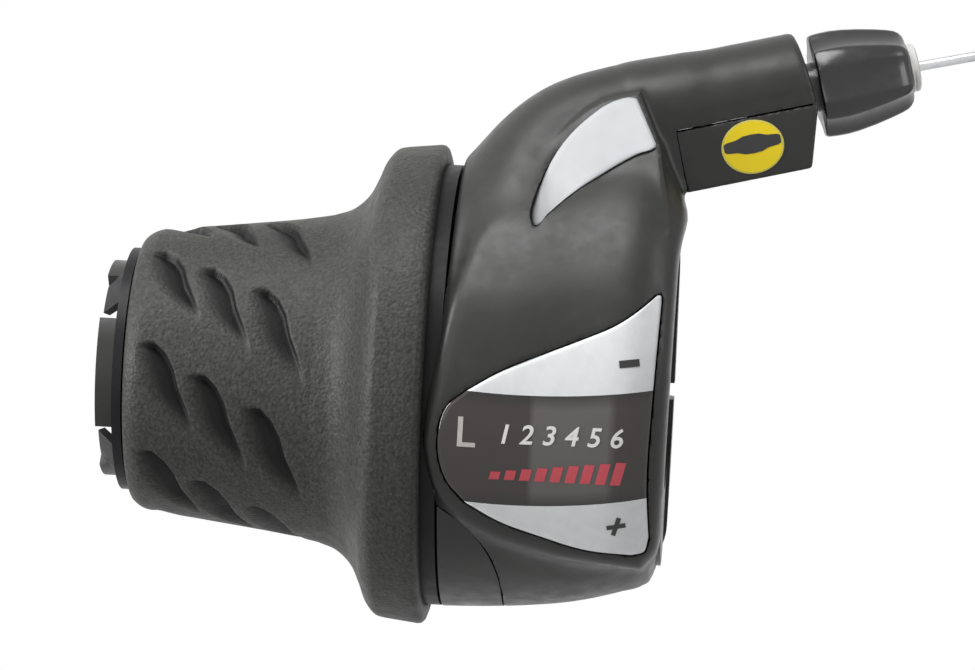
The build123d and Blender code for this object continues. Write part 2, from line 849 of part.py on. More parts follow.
# Clamp bolt and its square nut
with BuildPart() as bolt:
    with BuildSketch(Plane.XY.offset(-lug_height - bolt_head_h)):
        with Locations((bolt_x, bolt_y)):
            Circle(bolt_head_d / 2)
    extrude(amount=bolt_head_h)
    with BuildSketch(Plane.XY.offset(-lug_height)):
        with Locations((bolt_x, bolt_y)):
            Circle(bolt_d / 2)
    extrude(amount=2 * lug_height)
    with BuildSketch(Plane.XY.offset(-lug_height - bolt_head_h)):
        with Locations((bolt_x, bolt_y)):
            RegularPolygon(hex_key / 2, 6, major_radius=False)
    extrude(amount=bolt_head_h / 2, mode=Mode.SUBTRACT)
bolt.part.label = "clamp_bolt"
export_step(bolt.part, "parts/clamp_bolt.step")

with BuildPart() as nut:
    with BuildSketch(Plane.XY.offset(lug_height - nut_height)):
        with Locations((bolt_x, bolt_y)):
            Rectangle(nut_size, nut_size)
            Circle(bolt_d / 2 + running_gap, mode=Mode.SUBTRACT)
    extrude(amount=nut_height)
nut.part.label = "clamp_nut"
export_step(nut.part, "parts/clamp_nut.step")

# Two screws that hold the hood to the bracket, and one for the nose cover
with BuildPart() as cover_screws:
    screw_places = ((cover_screw_x, cover_screw_z), (cover_screw_x, -cover_screw_z))
    with BuildSketch(Plane.XZ.offset(-boss_back)):
        with Locations(*screw_places):
            Circle(screw_head_d / 2)
    extrude(amount=screw_head_h)
    with BuildSketch(Plane.XZ.offset(-boss_back)):
        with Locations(*screw_places):
            Circle(screw_d / 2)
    extrude(amount=boss_back - split_y + screw_length - face_gap)
cover_screws.part.label = "cover_screws"
export_step(cover_screws.part, "parts/cover_screws.step")

with BuildPart() as nose_screw:
    with BuildSketch(nose_screw_plane):
        Circle(screw_head_d / 2)
    extrude(amount=screw_head_h)
    with BuildSketch(nose_screw_plane):
        Circle(screw_d / 2)
    extrude(amount=nose_screw_reach - face_gap)
nose_screw.part.label = "nose_cover_screw"
export_step(nose_screw.part, "parts/nose_cover_screw.step")

# Barrel adjuster: knob, threaded stem and the seat for the cable casing
with BuildPart() as flute:
    with BuildSketch(Plane(nose_plane.from_local_coords(flute_from), z_dir=flute_way)):
        Circle(flute_d / 2)
    extrude(amount=knob_end + 2 * flute_lead)

with BuildPart() as adjuster:
    with BuildSketch(nose_plane):
        with BuildLine():
            Polyline(
                (nose_length - stem_length, wire_hole_d / 2),
                (nose_length - stem_length, stem_d / 2),
                (nose_length + knob_start, stem_d / 2),
                (nose_length + knob_start, knob_large_d / 2 - knob_round / 2),
                (nose_length + knob_start + knob_round / 2, knob_large_d / 2),
                (nose_length + knob_end - knob_round, knob_small_d / 2),
                (nose_length + knob_end, knob_small_d / 2 - knob_round),
                (nose_length + knob_end, seat_d / 2 + running_gap),
                (nose_length + knob_end - seat_depth, seat_d / 2 + running_gap),
                (nose_length + knob_end - seat_depth, wire_hole_d / 2),
                close=True,
            )
        make_face()
    revolve(axis=nose_axis)
    for cut in range(flute_count):
        add(flute.part.rotate(nose_axis, 360 / flute_count * (cut + 0.5)), mode=Mode.SUBTRACT)
adjuster.part.label = "adjuster_barrel"
export_step(adjuster.part, "parts/adjuster_barrel.step")

with BuildPart() as seat_ring:
    with BuildSketch(across_nose(nose_length + knob_end - seat_depth)):
        Circle(seat_d / 2)
        Circle(wire_hole_d / 2, mode=Mode.SUBTRACT)
    extrude(amount=seat_depth + seat_proud)
seat_ring.part.label = "casing_seat"
export_step(seat_ring.part, "parts/casing_seat.step")

with BuildPart() as stem_ring:
    with BuildSketch(nose_plane):
        with Locations((nose_length - ring_depth / 2, stem_d / 2 + running_gap + ring_section / 2)):
            Circle(ring_section / 2)
    revolve(axis=nose_axis)
stem_ring.part.label = "adjuster_ring"
export_step(stem_ring.part, "parts/adjuster_ring.step")

# Cable guide in the arch, and the wire that runs through it
with BuildPart() as guide:
    with BuildLine() as guide_line:
        FilletPolyline(
            leave_point + leave_way * guide_start,
            corner,
            along_nose(nose_length - stem_room - face_gap),
            radius=guide_bend,
        )
    with BuildSketch(Plane(guide_line.line @ 0, z_dir=leave_way)):
        Circle(guide_d / 2)
        Circle(guide_bore / 2, mode=Mode.SUBTRACT)
    sweep(path=guide_line.line)
guide.part.label = "cable_guide"
export_step(guide.part, "parts/cable_guide.step")

with BuildPart() as wire:
    with BuildLine() as wire_line:
        FilletPolyline(
            leave_point + leave_way * (wire_d / 2),
            corner,
            along_nose(seat_out),
            radius=guide_bend,
        )
    with BuildSketch(Plane(wire_line.line @ 0, z_dir=leave_way)):
        Circle(wire_d / 2)
    sweep(path=wire_line.line)
wire.part.label = "shift_cable"
export_step(wire.part, "parts/shift_cable.step")

# Free wire: a short run to a coil that hangs from it, held by a tie
tail_from = along_nose(seat_out)
tail_bend = along_nose(seat_out + tail_run)
coil_top = tail_bend + Vector(
    cos(radians(coil_rise)) * cos(radians(nose_yaw)),
    cos(radians(coil_rise)) * sin(radians(nose_yaw)),
    sin(radians(coil_rise)),
) * tail_run
coil_centre = coil_top - Vector(0, 0, coil_r + coil_half - wire_d / 2)
tail_turn = (tail_bend - tail_from).get_angle(coil_top - tail_bend)
tail_radius = 0.45 * tail_run / tan(radians(tail_turn / 2))
with BuildPart() as tail:
    with BuildLine() as tail_line:
        FilletPolyline(tail_from, tail_bend, coil_top, radius=tail_radius)
    with BuildSketch(Plane(tail_from, z_dir=nose_way)):
        Circle(wire_d / 2)
    sweep(path=tail_line.line)
tail.part.label = "cable_tail"
export_step(tail.part, "parts/cable_tail.step")
tail_length = tail_line.wires()[0].length
print("tail radius", tail_radius, "volume ratio", tail.part.volume / (pi * wire_d**2 / 4 * tail_length))

with BuildPart() as coil:
    with BuildSketch(Plane(coil_centre, x_dir=(1, 0, 0), z_dir=(0, 0, 1))):
        with Locations((coil_r, 0)):
            RectangleRounded(2 * coil_half, 2 * coil_half, wire_d)
    revolve(axis=Axis(coil_centre, (0, 1, 0)))
coil.part.label = "cable_coil"
export_step(coil.part, "parts/cable_coil.step")

with BuildPart() as tie:
    tie_place = coil_centre - Vector(tie_width / 2, 0, coil_r)
    with BuildSketch(Plane(tie_place, x_dir=(0, 1, 0), z_dir=(1, 0, 0))):
        Rectangle(2 * (coil_half + tie_wall + face_gap), 2 * (coil_half + tie_wall + 2 * face_gap))
        Rectangle(2 * coil_half + face_gap, 2 * (coil_half + 2 * face_gap), mode=Mode.SUBTRACT)
    extrude(amount=tie_width)
tie.part.label = "coil_tie"
export_step(tie.part, "parts/coil_tie.step")
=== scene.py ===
import json
import math
import bmesh
import bpy
import numpy as np
from mathutils import Matrix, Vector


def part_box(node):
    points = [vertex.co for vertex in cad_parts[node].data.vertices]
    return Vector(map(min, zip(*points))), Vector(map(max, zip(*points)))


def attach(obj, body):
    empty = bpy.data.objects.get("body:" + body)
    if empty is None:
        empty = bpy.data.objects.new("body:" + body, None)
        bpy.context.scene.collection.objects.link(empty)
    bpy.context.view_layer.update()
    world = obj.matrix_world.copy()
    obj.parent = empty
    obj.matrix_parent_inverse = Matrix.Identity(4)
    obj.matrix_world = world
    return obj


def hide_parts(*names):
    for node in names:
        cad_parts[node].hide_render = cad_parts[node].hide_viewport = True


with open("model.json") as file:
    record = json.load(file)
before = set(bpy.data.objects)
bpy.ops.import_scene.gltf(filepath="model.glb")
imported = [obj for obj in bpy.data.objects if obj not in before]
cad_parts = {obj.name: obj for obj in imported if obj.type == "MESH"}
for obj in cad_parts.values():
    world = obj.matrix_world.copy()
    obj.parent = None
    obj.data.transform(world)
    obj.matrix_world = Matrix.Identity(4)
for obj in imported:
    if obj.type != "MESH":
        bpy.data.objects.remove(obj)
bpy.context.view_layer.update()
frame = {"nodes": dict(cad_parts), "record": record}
nodes = frame["nodes"]
scene = bpy.context.scene
scene.view_settings.view_transform = "Standard"
mm = 0.001  # sizes below are in millimetres, meshes in metres
farOff = 1e9  # a distance beyond everything
tiny = 1e-12  # keeps a division away from zero
print("frame loaded:", len(nodes), "nodes")


# sRGB 0-255 to the linear colour that shaders take: a straight foot, then a power curve
def srgb(r, g, b):
    c = np.array([r, g, b]) / 255.0
    return tuple(np.where(c <= 0.04045, c / 12.92, ((c + 0.055) / 1.055) ** 2.4))


# quads of a rows x cols grid of points, wrapped round where a direction is closed
def gridQuads(rows, cols, closeRows=False, closeCols=False):
    i, j = np.meshgrid(np.arange(rows if closeRows else rows - 1),
                       np.arange(cols if closeCols else cols - 1), indexing="ij")
    i2, j2 = (i + 1) % rows, (j + 1) % cols
    return np.stack([i * cols + j, i2 * cols + j, i2 * cols + j2, i * cols + j2], -1).reshape(-1, 4)


# mesh object at the origin from millimetre points and index arrays of quads or triangles; points that meet
# are joined, and faces are turned outwards by the sign of the enclosed volume
def newPiece(name, points, faces, body, smooth=True, sharp=None, weld=0.002):
    mesh = bpy.data.meshes.new(name)
    points = np.asarray(points, float).reshape(-1, 3) * mm
    mesh.from_pydata(points.tolist(), [], faces if isinstance(faces, list) else faces.tolist())
    mesh.polygons.foreach_set("use_smooth", np.full(len(mesh.polygons), smooth))
    form = bmesh.new()
    form.from_mesh(mesh)
    bmesh.ops.remove_doubles(form, verts=form.verts, dist=weld * mm)
    if form.calc_volume(signed=True) < 0:
        bmesh.ops.reverse_faces(form, faces=form.faces)
    form.to_mesh(mesh)
    form.free()
    if sharp:
        mesh.set_sharp_from_angle(angle=math.radians(sharp))
    mesh.update()
    piece = bpy.data.objects.new(name, mesh)
    scene.collection.objects.link(piece)
    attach(piece, body)
    return piece


plateSet = dict(innerShare=0.94, rimShares=[0.97, 0.985, 0.995, 1.0], wearReach=2.5, least=1e-6)


# thin closed plate: rings that shrink from an outline to its centre, laid on a surface from low to high; the
# edge is worn down by the square of how near it is
def newPlate(name, outline, centre, surface, low, high, body, edge=0.0, rings=8, sharp=40, s=plateSet):
    outline, centre = np.asarray(outline, float), np.asarray(centre, float)
    share = np.concatenate([np.linspace(0, s["innerShare"], rings), s["rimShares"]])[:, None, None]
    flat = centre + share * (outline - centre)
    gap = np.linalg.norm(flat - outline, axis=-1)
    worn = edge * np.clip(1 - gap / (s["wearReach"] * edge + s["least"]), 0, 1) ** 2
    front = surface(flat[..., 0], flat[..., 1], high - worn)
    back = surface(flat[::-1, :, 0], flat[::-1, :, 1], low + 0 * gap)
    points = np.concatenate([front, back])
    return newPiece(name, points, gridQuads(*points.shape[:2], closeCols=True), body, sharp=sharp)


# links a camera or lamp, turned to three axes of its own, at a place in millimetres
def setPlace(thing, right, top, back, place):
    turn = np.eye(4)
    turn[:3] = np.stack([right, top, back, place * mm], -1)
    thing.matrix_world = Matrix(turn.tolist())
    scene.collection.objects.link(thing)


cameraSet = dict(aim=(3.5, 0.0, 6.2), azimuth=3.3, elevation=2.5, roll=2.8, focal=4200.0, pxPerMm=8.35,
                 imageWidth=975, sensor=36.0, clip=(0.01, 20.0))


# camera: stands back from the aim point by focal length over scale, turned by azimuth, elevation and roll
def makeCamera(s):
    a, e, r = (math.radians(s[k]) for k in ("azimuth", "elevation", "roll"))
    side = np.array([math.cos(a), math.sin(a), 0.0])
    ahead = np.array([-math.sin(a) * math.cos(e), math.cos(a) * math.cos(e), -math.sin(e)])
    up = np.cross(side, ahead)
    right = math.cos(r) * side + math.sin(r) * up
    top = -math.sin(r) * side + math.cos(r) * up
    data = bpy.data.cameras.new("photoCamera")
    data.sensor_fit = "HORIZONTAL"
    data.sensor_width = s["sensor"]
    data.lens = s["sensor"] * s["focal"] / s["imageWidth"]
    data.clip_start, data.clip_end = s["clip"]
    camera = bpy.data.objects.new("photoCamera", data)
    setPlace(camera, right, top, -ahead, np.array(s["aim"]) - s["focal"] / s["pxPerMm"] * ahead)
    scene.camera = camera


makeCamera(cameraSet)
print("camera placed")


# maths node on sockets and fixed numbers
def maths(tree, kind, *values):
    made = tree.nodes.new("ShaderNodeMath")
    made.operation = kind
    for socket, value in zip(made.inputs, values):
        if isinstance(value, float):
            socket.default_value = value
        else:
            tree.links.new(value, socket)
    return made.outputs["Value"]


# finish: a shader with its own grain, tint and gloss on Object coordinates
class Finish:
    def __init__(self, name, colour, roughness, metallic=0.0, specular=0.5):
        self.material = bpy.data.materials.new(name)
        self.material.use_nodes = True
        self.tree = self.material.node_tree
        self.shader = self.tree.nodes["Principled BSDF"]
        self.shader.inputs["Base Color"].default_value = (*colour, 1.0)
        self.shader.inputs["Roughness"].default_value = roughness
        self.shader.inputs["Metallic"].default_value = metallic
        self.shader.inputs["Specular IOR Level"].default_value = specular
        self.place = self.node("ShaderNodeTexCoord").outputs["Object"]
        self.normal = None

    # new node with some of its settings
    def node(self, kind, **settings):
        made = self.tree.nodes.new(kind)
        for key, value in settings.items():
            setattr(made, key, value)
        return made

    # one socket feeds another
    def link(self, a, b):
        self.tree.links.new(a, b)

    # noise of a given grain size in millimetres
    def noise(self, size, detail=3.0, rough=0.55, stretch=None):
        made = self.node("ShaderNodeTexNoise")
        made.inputs["Scale"].default_value = 1.0 / (size * mm)
        made.inputs["Detail"].default_value = detail
        made.inputs["Roughness"].default_value = rough
        place = self.place
        if stretch:
            turn = self.node("ShaderNodeMapping")
            turn.inputs["Scale"].default_value = stretch
            self.link(place, turn.inputs["Vector"])
            place = turn.outputs["Vector"]
        self.link(place, made.inputs["Vector"])
        return made.outputs["Fac"]

    # colour that runs from one tint to the other with a value, between two stops
    def ramp(self, value, low, high, start=0.3, end=0.7):
        made = self.node("ShaderNodeValToRGB")
        made.color_ramp.elements[0].position, made.color_ramp.elements[1].position = start, end
        made.color_ramp.elements[0].color = (*low, 1.0)
        made.color_ramp.elements[1].color = (*high, 1.0)
        self.link(value, made.inputs["Fac"])
        return made.outputs["Color"]

    # number that runs from low to high as a value goes from start to end
    def spread(self, value, low, high, start=0.3, end=0.7):
        made = self.node("ShaderNodeMapRange")
        for key, number in zip(("From Min", "From Max", "To Min", "To Max"), (start, end, low, high)):
            made.inputs[key].default_value = number
        self.link(value, made.inputs["Value"])
        return made.outputs["Result"]

    # one colour laid over another by a share; each is a fixed tint or a socket
    def over(self, share, under, upper):
        made = self.node("ShaderNodeMix", data_type="RGBA")
        self.link(share, made.inputs[0])
        for socket, colour in ((made.inputs[6], under), (made.inputs[7], upper)):
            if isinstance(colour, tuple):
                socket.default_value = (*colour, 1.0)
            else:
                self.link(colour, socket)
        return made.outputs[2]

    # one more layer of bump, height in millimetres
    def bump(self, value, height):
        made = self.node("ShaderNodeBump")
        made.inputs["Distance"].default_value = height * mm
        made.inputs["Strength"].default_value = 1.0
        self.link(value, made.inputs["Height"])
        if self.normal:
            self.link(self.normal, made.inputs["Normal"])
        self.normal = made.outputs["Normal"]
        self.link(self.normal, self.shader.inputs["Normal"])

    # base colour and roughness come from a socket
    def colour(self, output):
        self.link(output, self.shader.inputs["Base Color"])

    def gloss(self, output):
        self.link(output, self.shader.inputs["Roughness"])


mouldedSet = dict(blotch=6.0, rubbed=2.0, smoother=0.06, rougher=0.08, coarser=6, higher=1.5)


# grained plastic or rubber: two tints of slow blotches, rubbed gloss and two sizes of grain
def mouldedFinish(name, tint, shade, roughness, grain, height, specular=0.5, s=mouldedSet):
    f = Finish(name, srgb(*tint), roughness, specular=specular)
    f.colour(f.ramp(f.noise(s["blotch"]), srgb(*shade), srgb(*tint)))
    f.gloss(f.spread(f.noise(s["rubbed"]), roughness - s["smoother"], roughness + s["rougher"]))
    f.bump(f.noise(grain, detail=4.0, rough=0.6), height)
    f.bump(f.noise(grain * s["coarser"], detail=2.0), height * s["higher"])
    return f.material


rubberLook = dict(
    # groove: painted shade laid in the grooves, darker with their depth
    tint=(56, 56, 55), dark=(36, 36, 35), light=(62, 62, 60), groove=(16, 16, 16), speckle=0.45,
    roughness=0.5, specular=0.2, rubbed=2.0, gloss=(0.42, 0.56), shadeFrom=0.05, smoothFrom=0.04,
    grooveFull=0.4, pebble=0.42, pebbleHeight=0.06, leftInGroove=0.2, dust=0.25, dustHeight=0.02)


# stippled rubber: pebble grain that fades in the grooves, where the surface is smooth; the grooves' dark
# colour is painted shade
def rubberFinish(s):
    f = Finish("rubberGrain", srgb(*s["tint"]), s["roughness"], specular=s["specular"])
    sunk = f.node("ShaderNodeAttribute", attribute_name="sunk").outputs["Fac"]
    tint = f.ramp(f.noise(s["speckle"]), srgb(*s["dark"]), srgb(*s["light"]))
    # painted shade: the grooves' colour darkens with their depth
    shadeInGroove = f.spread(sunk, 0.0, 1.0, s["shadeFrom"], s["grooveFull"])
    f.colour(f.over(shadeInGroove, tint, srgb(*s["groove"])))
    f.gloss(f.spread(f.noise(s["rubbed"]), *s["gloss"]))
    pebble = f.node("ShaderNodeTexVoronoi")
    pebble.inputs["Scale"].default_value = 1 / (s["pebble"] * mm)
    f.link(f.place, pebble.inputs["Vector"])
    share = f.spread(sunk, -1.0, -s["leftInGroove"], s["smoothFrom"], s["grooveFull"])
    f.bump(maths(f.tree, "MULTIPLY", pebble.outputs["Distance"], share), s["pebbleHeight"])
    f.bump(f.noise(s["dust"], rough=0.6), s["dustHeight"])
    return f.material


metalSet = dict(stain=2.5, stainStops=(0.25, 0.6), streak=0.4, smoother=0.08, rougher=0.12, scratch=0.15,
                scratchHeight=0.004, stretch=(1, 1, 8))


# drawn or plated metal: fine streaks along one axis and a few darker stains
def metalFinish(name, tint, shade, roughness, s=metalSet):
    f = Finish(name, srgb(*tint), roughness, metallic=1.0)
    f.colour(f.ramp(f.noise(s["stain"]), srgb(*shade), srgb(*tint), *s["stainStops"]))
    streaks = f.noise(s["streak"], stretch=s["stretch"])
    f.gloss(f.spread(streaks, roughness - s["smoother"], roughness + s["rougher"]))
    f.bump(f.noise(s["scratch"], stretch=s["stretch"]), s["scratchHeight"])
    return f.material


# slot: name, tint and shade in sRGB, roughness, grain and its height in millimetres, specular
mouldedRows = {
    "sleeve_plastic": ("sleeveBlack", (28, 28, 29), (23, 23, 24), 0.45, 0.2, 0.008, 0.15),
    "housing_plastic": ("housingCharcoal", (45, 45, 44), (40, 40, 39), 0.36, 0.18, 0.006, 0.28),
    "smoked_lens": ("lensSmoke", (52, 46, 44), (44, 40, 39), 0.12, 0.5, 0.001),
    "printed_card": ("cardPrint", (50, 48, 46), (44, 42, 41), 0.6, 0.2, 0.004),
    "silver_label": ("labelSilver", (172, 173, 175), (165, 167, 169), 0.4, 0.2, 0.002, 0.3),
    "yellow_label": ("stickerYellow", (234, 208, 26), (226, 200, 20), 0.4, 0.3, 0.002),
    "drum_plastic": ("drumNylon", (196, 194, 186), (186, 184, 176), 0.5, 0.25, 0.006),
    "friction_plastic": ("frictionFibre", (128, 122, 114), (112, 107, 100), 0.7, 0.25, 0.02),
    "adjuster_plastic": ("adjusterBlack", (26, 25, 25), (22, 21, 21), 0.24, 0.25, 0.003, 0.6),
    "white_nylon": ("whiteNylon", (226, 226, 222), (214, 214, 210), 0.35, 0.25, 0.004),
    "guide_plastic": ("guideLiner", (208, 208, 204), (198, 198, 194), 0.4, 0.3, 0.004),
    "seal_rubber": ("sealRubber", (32, 32, 32), (26, 26, 26), 0.5, 0.2, 0.008),
    "collar_plastic": ("collarBlack", (27, 27, 29), (22, 22, 24), 0.4, 0.2, 0.006, 0.15),
}
# slot: name, tint and shade in sRGB, roughness
metalRows = {
    "spring_steel": ("springSteel", (170, 170, 172), (140, 140, 142), 0.35),
    "zinc_steel": ("zincSteel", (190, 191, 193), (160, 161, 164), 0.3),
    "wire_steel": ("wireSteel", (205, 206, 208), (176, 178, 181), 0.28),
}
finishes = {slotName: mouldedFinish(*row) for slotName, row in mouldedRows.items()}
finishes.update({slotName: metalFinish(*row) for slotName, row in metalRows.items()})
finishes["rubber"] = rubberFinish(rubberLook)
slotOf = {s["node"]: s["material_slot"] for s in frame["record"]["subparts"]}


# piece takes the finish of a material slot, or one of its own
def dress(piece, slotName, finish=None):
    piece.data.materials.clear()
    piece.data.materials.append(finish or finishes[slotName])


for name, node in nodes.items():
    node.data.materials.clear()
    node.data.materials.append(finishes[slotOf[name]])
print("finishes:", len(finishes))

wireSet = dict(
    diameter=1.2, tail=[(53.750, 0.733, 40.854), (64.963, 1.714, 43.660)], hub=(76.455, 2.719, 31.273),
    outerR=13.6, layerStep=1.4, layers=5, turnsPerLayer=5, halfWidth=3.05, pointsPerTurn=24, swap=0.15,
    splineShare=0.995)  # the spline is shorter than its points' runs


# wire: one spline down the tail and round the coil; each layer is a helix, and the next turns back inside it
def makeWire(s):
    allTurns = s["layers"] * s["turnsPerLayer"]
    turns = np.linspace(0, allTurns, allTurns * s["pointsPerTurn"] + 1)
    inLayer = turns / s["turnsPerLayer"]
    layer = np.floor(inLayer)
    part = inLayer - layer
    zigzag = np.where(layer % 2 == 0, part, 1 - part)
    across = s["halfWidth"] * (2 * zigzag - 1)
    toSwap = (turns - np.round(inLayer) * s["turnsPerLayer"]) / s["swap"]
    nearSwap = np.clip(toSwap, -1, 1) * 0.5 + 0.5
    step = np.where(np.abs(toSwap) < 1, np.round(inLayer) - 1 + nearSwap, layer)
    radius = s["outerR"] - s["layerStep"] * np.clip(step, 0, s["layers"] - 1)
    angle = 2 * np.pi * turns
    hub = np.array(s["hub"])
    coil = np.stack([hub[0] + radius * np.sin(angle), hub[1] + across, hub[2] + radius * np.cos(angle)], -1)
    route = np.vstack([np.array(s["tail"]), coil]) * mm
    curve = bpy.data.curves.new("shiftWireCoil", "CURVE")
    curve.dimensions = "3D"
    curve.bevel_depth = 1.0  # times each point's own radius
    curve.bevel_resolution = 3
    curve.resolution_u = 2
    curve.use_fill_caps = True
    spline = curve.splines.new("NURBS")
    spline.points.add(len(route) - 1)
    spline.points.foreach_set("co", np.hstack([route, np.ones((len(route), 1))]).ravel())
    spline.points.foreach_set("radius", np.full(len(route), s["diameter"] / 2 * mm))
    spline.order_u = 3
    spline.use_endpoint_u = True
    wire = bpy.data.objects.new("shiftWireCoil", curve)
    scene.collection.objects.link(wire)
    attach(wire, "housing")
    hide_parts("cable_tail", "cable_coil")
    dress(wire, "wire_steel")


makeWire(wireSet)


# span that each x lies in, with x kept between the first and last knot
def findSpan(x, knots):
    x = np.clip(x, knots[0], knots[-1])
    return x, np.clip(np.searchsorted(knots, x, side="right") - 1, 0, len(knots) - 2)


# smooth curve through knots: cubic pieces whose slopes come from the neighbours
def smoothThrough(x, knots, values):
    knots, values = np.array(knots, float), np.array(values, float)
    slopes = np.gradient(values, knots)
    x, i = findSpan(x, knots)
    span = knots[i + 1] - knots[i]
    t = (x - knots[i]) / span
    return ((1 + 2 * t) * (1 - t) ** 2 * values[i] + t * (1 - t) ** 2 * span * slopes[i]
            + t * t * (3 - 2 * t) * values[i + 1] + t * t * (t - 1) * span * slopes[i + 1])


# evenly bent curve through knots: cubic pieces whose slopes and bends both meet, straight at the two ends
def evenThrough(x, knots, values):
    knots, values = np.array(knots, float), np.array(values, float)
    span = np.diff(knots)
    rise = np.diff(values) / span
    ties, turns = np.eye(len(knots)), np.zeros(len(knots))
    for k in range(1, len(knots) - 1):
        ties[k, k - 1:k + 2] = span[k - 1], 2 * (span[k - 1] + span[k]), span[k]
        turns[k] = 6 * (rise[k] - rise[k - 1])
    bend = np.linalg.solve(ties, turns)
    x, i = findSpan(x, knots)
    after, before = x - knots[i], knots[i + 1] - x
    return ((values[i] * before + values[i + 1] * after) / span[i]
            + bend[i] * before * (before ** 2 / span[i] - span[i]) / 6
            + bend[i + 1] * after * (after ** 2 / span[i] - span[i]) / 6)


# points along a smooth open line through a few places, evenly spaced along its chords
def smoothLine(places, count):
    places = np.array(places, float)
    run = np.concatenate([[0], np.cumsum(np.linalg.norm(np.diff(places, axis=0), axis=1))])
    at = np.linspace(0, run[-1], count)
    return np.stack([smoothThrough(at, run, places[:, k]) for k in range(places.shape[1])], -1)


# 0 before start, 1 after end, eased between
def ease(x, start, end):
    t = np.clip((x - start) / (end - start), 0, 1)
    return t * t * (3 - 2 * t)


rubberSet = dict(
    lip=[(-38.0, 14.93), (-38.0, 15.3), (-37.85, 15.75), (-37.3, 16.3), (-36.6, 16.7), (-35.8, 16.95)],
    cone=[(-35.8, 16.95), (-26.0, 18.1), (-18.5, 19.1), (-15.5, 19.65)],
    flare=[(-15.5, 19.65), (-13.2, 20.5), (-11.2, 22.3), (-9.9, 24.8), (-8.9, 27.0), (-7.9, 28.0),
           (-6.8, 28.25)],
    flange=[(-6.8, 28.25), (-4.6, 28.5), (-3.0, 28.68), (-2.6, 28.62), (-2.3, 28.35), (-2.08, 27.7),
            (-2.08, 26.45), (-2.2, 26.4), (-2.2, 20.0), (-2.2, 14.93)],
    lipPoints=14, conePoints=118, flarePoints=34, borePoints=8, turns=480,
    columns=[(-36.0, 14.4), (-29.8, 2.4), (-23.2, -8.4)], around=8,  # x and angle of each column's first head
    edgeDown=[0, 0.7, 5.0, 10.9, 19.0, 26.3, 31.8, 39.0], edgeRight=[0, 1.9, 3.3, 4.3, 5.0, 6.0, 6.7, 7.3],
    length=39.0, depth=1.6, wall=0.5, headEnd=0.05, tailFrom=0.55, leftPower=2.2, leftOut=0.6, rampPower=1.3,
    leastWidth=0.001, groovesStart=(-37.4, -35.6), groovesStop=(-15.5, -13.5))


# rubber cover: a turned profile sunk by flame grooves; each groove is deepest along its right edge, an S from
# the head to the tail, and runs out to the left
def makeRubber(s):
    runs = [smoothLine(s[run], s[run + "Points"])[:-1] for run in ("lip", "cone", "flare")]
    outer = np.vstack([*runs, np.array(s["flange"])])
    inner = np.linspace(outer[-1], outer[0], s["borePoints"])[1:-1]
    profile = np.vstack([outer, inner])
    angle = np.linspace(0, 2 * np.pi, s["turns"], endpoint=False)
    x, phi = np.meshgrid(profile[:, 0], np.degrees(angle), indexing="ij")
    sunk = np.zeros_like(x)
    apart = 360 / s["around"]
    for headX, headAngle in s["columns"]:
        down = np.mod(headAngle - phi, apart)  # degrees below the nearest head above
        for below in (down, down + apart):
            along = below / s["length"]
            right = headX + np.interp(below, s["edgeDown"], s["edgeRight"])
            left = headX + s["edgeRight"][-1] * np.clip(along, 0, 1) ** s["leftPower"] - s["leftOut"]
            across = (right - x) / np.maximum(right - left, s["leastWidth"])
            ramp = np.clip(1 - across, 0, 1) ** s["rampPower"] * ease(right - x, 0.0, s["wall"])
            body = ease(along, 0.0, s["headEnd"]) * (1 - ease(along, s["tailFrom"], 1.0))
            sunk = np.maximum(sunk, np.where(along < 1, ramp * body, 0))
    onCone = np.zeros(len(profile))
    onCone[:len(outer)] = ease(outer[:, 0], *s["groovesStart"]) * (1 - ease(outer[:, 0], *s["groovesStop"]))
    sunk *= onCone[:, None]
    radius = profile[:, 1][:, None] - s["depth"] * sunk
    points = np.stack([x, -radius * np.cos(np.radians(phi)), radius * np.sin(np.radians(phi))], -1)
    rubber = newPiece("gripCover", points, gridQuads(*x.shape, closeRows=True, closeCols=True), "grip")
    depthMark = rubber.data.attributes.new("sunk", "FLOAT", "POINT")
    depthMark.data.foreach_set("value", sunk.ravel())
    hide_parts("grip_rubber")
    dress(rubber, "rubber")


makeRubber(rubberSet)
print("rubber cover turned and grooved")


# union of two solids given as distances: the lesser one, sunk where they are nearly equal by a cubed ramp, a
# quarter of the blend deep, that ends one and a half blends away
def join(a, b, blend):
    near = np.clip(1 - np.abs(a - b) / (1.5 * blend), 0, 1)
    return np.minimum(a, b) - 0.25 * blend * near ** 3


# common part of two solids: what is left outside the union of their outsides
def common(a, b, blend):
    return -join(-a, -b, blend)


# solid less the common part of some others, with sharp edges
def less(body, *parts):
    hole = parts[0]
    for part in parts[1:]:
        hole = np.maximum(hole, part)
    return np.maximum(body, -hole)


# signed distance from the places (u, v) to a closed outline: how far the nearest side is, negative where an
# odd number of sides lies to the right
def outlineDistance(u, v, outline):
    best = np.full(u.shape, farOff)
    crossed = np.zeros(u.shape, bool)
    ends = np.roll(outline, -1, axis=0)
    for (u0, v0), (u1, v1) in zip(outline, ends):
        du, dv = u1 - u0, v1 - v0
        t = np.clip(((u - u0) * du + (v - v0) * dv) / (du * du + dv * dv + tiny), 0, 1)
        best = np.minimum(best, (u - u0 - t * du) ** 2 + (v - v0 - t * dv) ** 2)
        spans = (v0 > v) != (v1 > v)
        crossed ^= spans & (u < u0 + (v - v0) * du / (dv if dv else tiny))
    return np.where(crossed, -1, 1) * np.sqrt(best)


# closed outline from stretches that are each smooth through their places
def smoothOutline(stretches, count=14):
    return np.vstack([smoothLine(places, count)[:-1] if len(places) > 2 else np.array(places[:1], float)
                      for places in stretches])


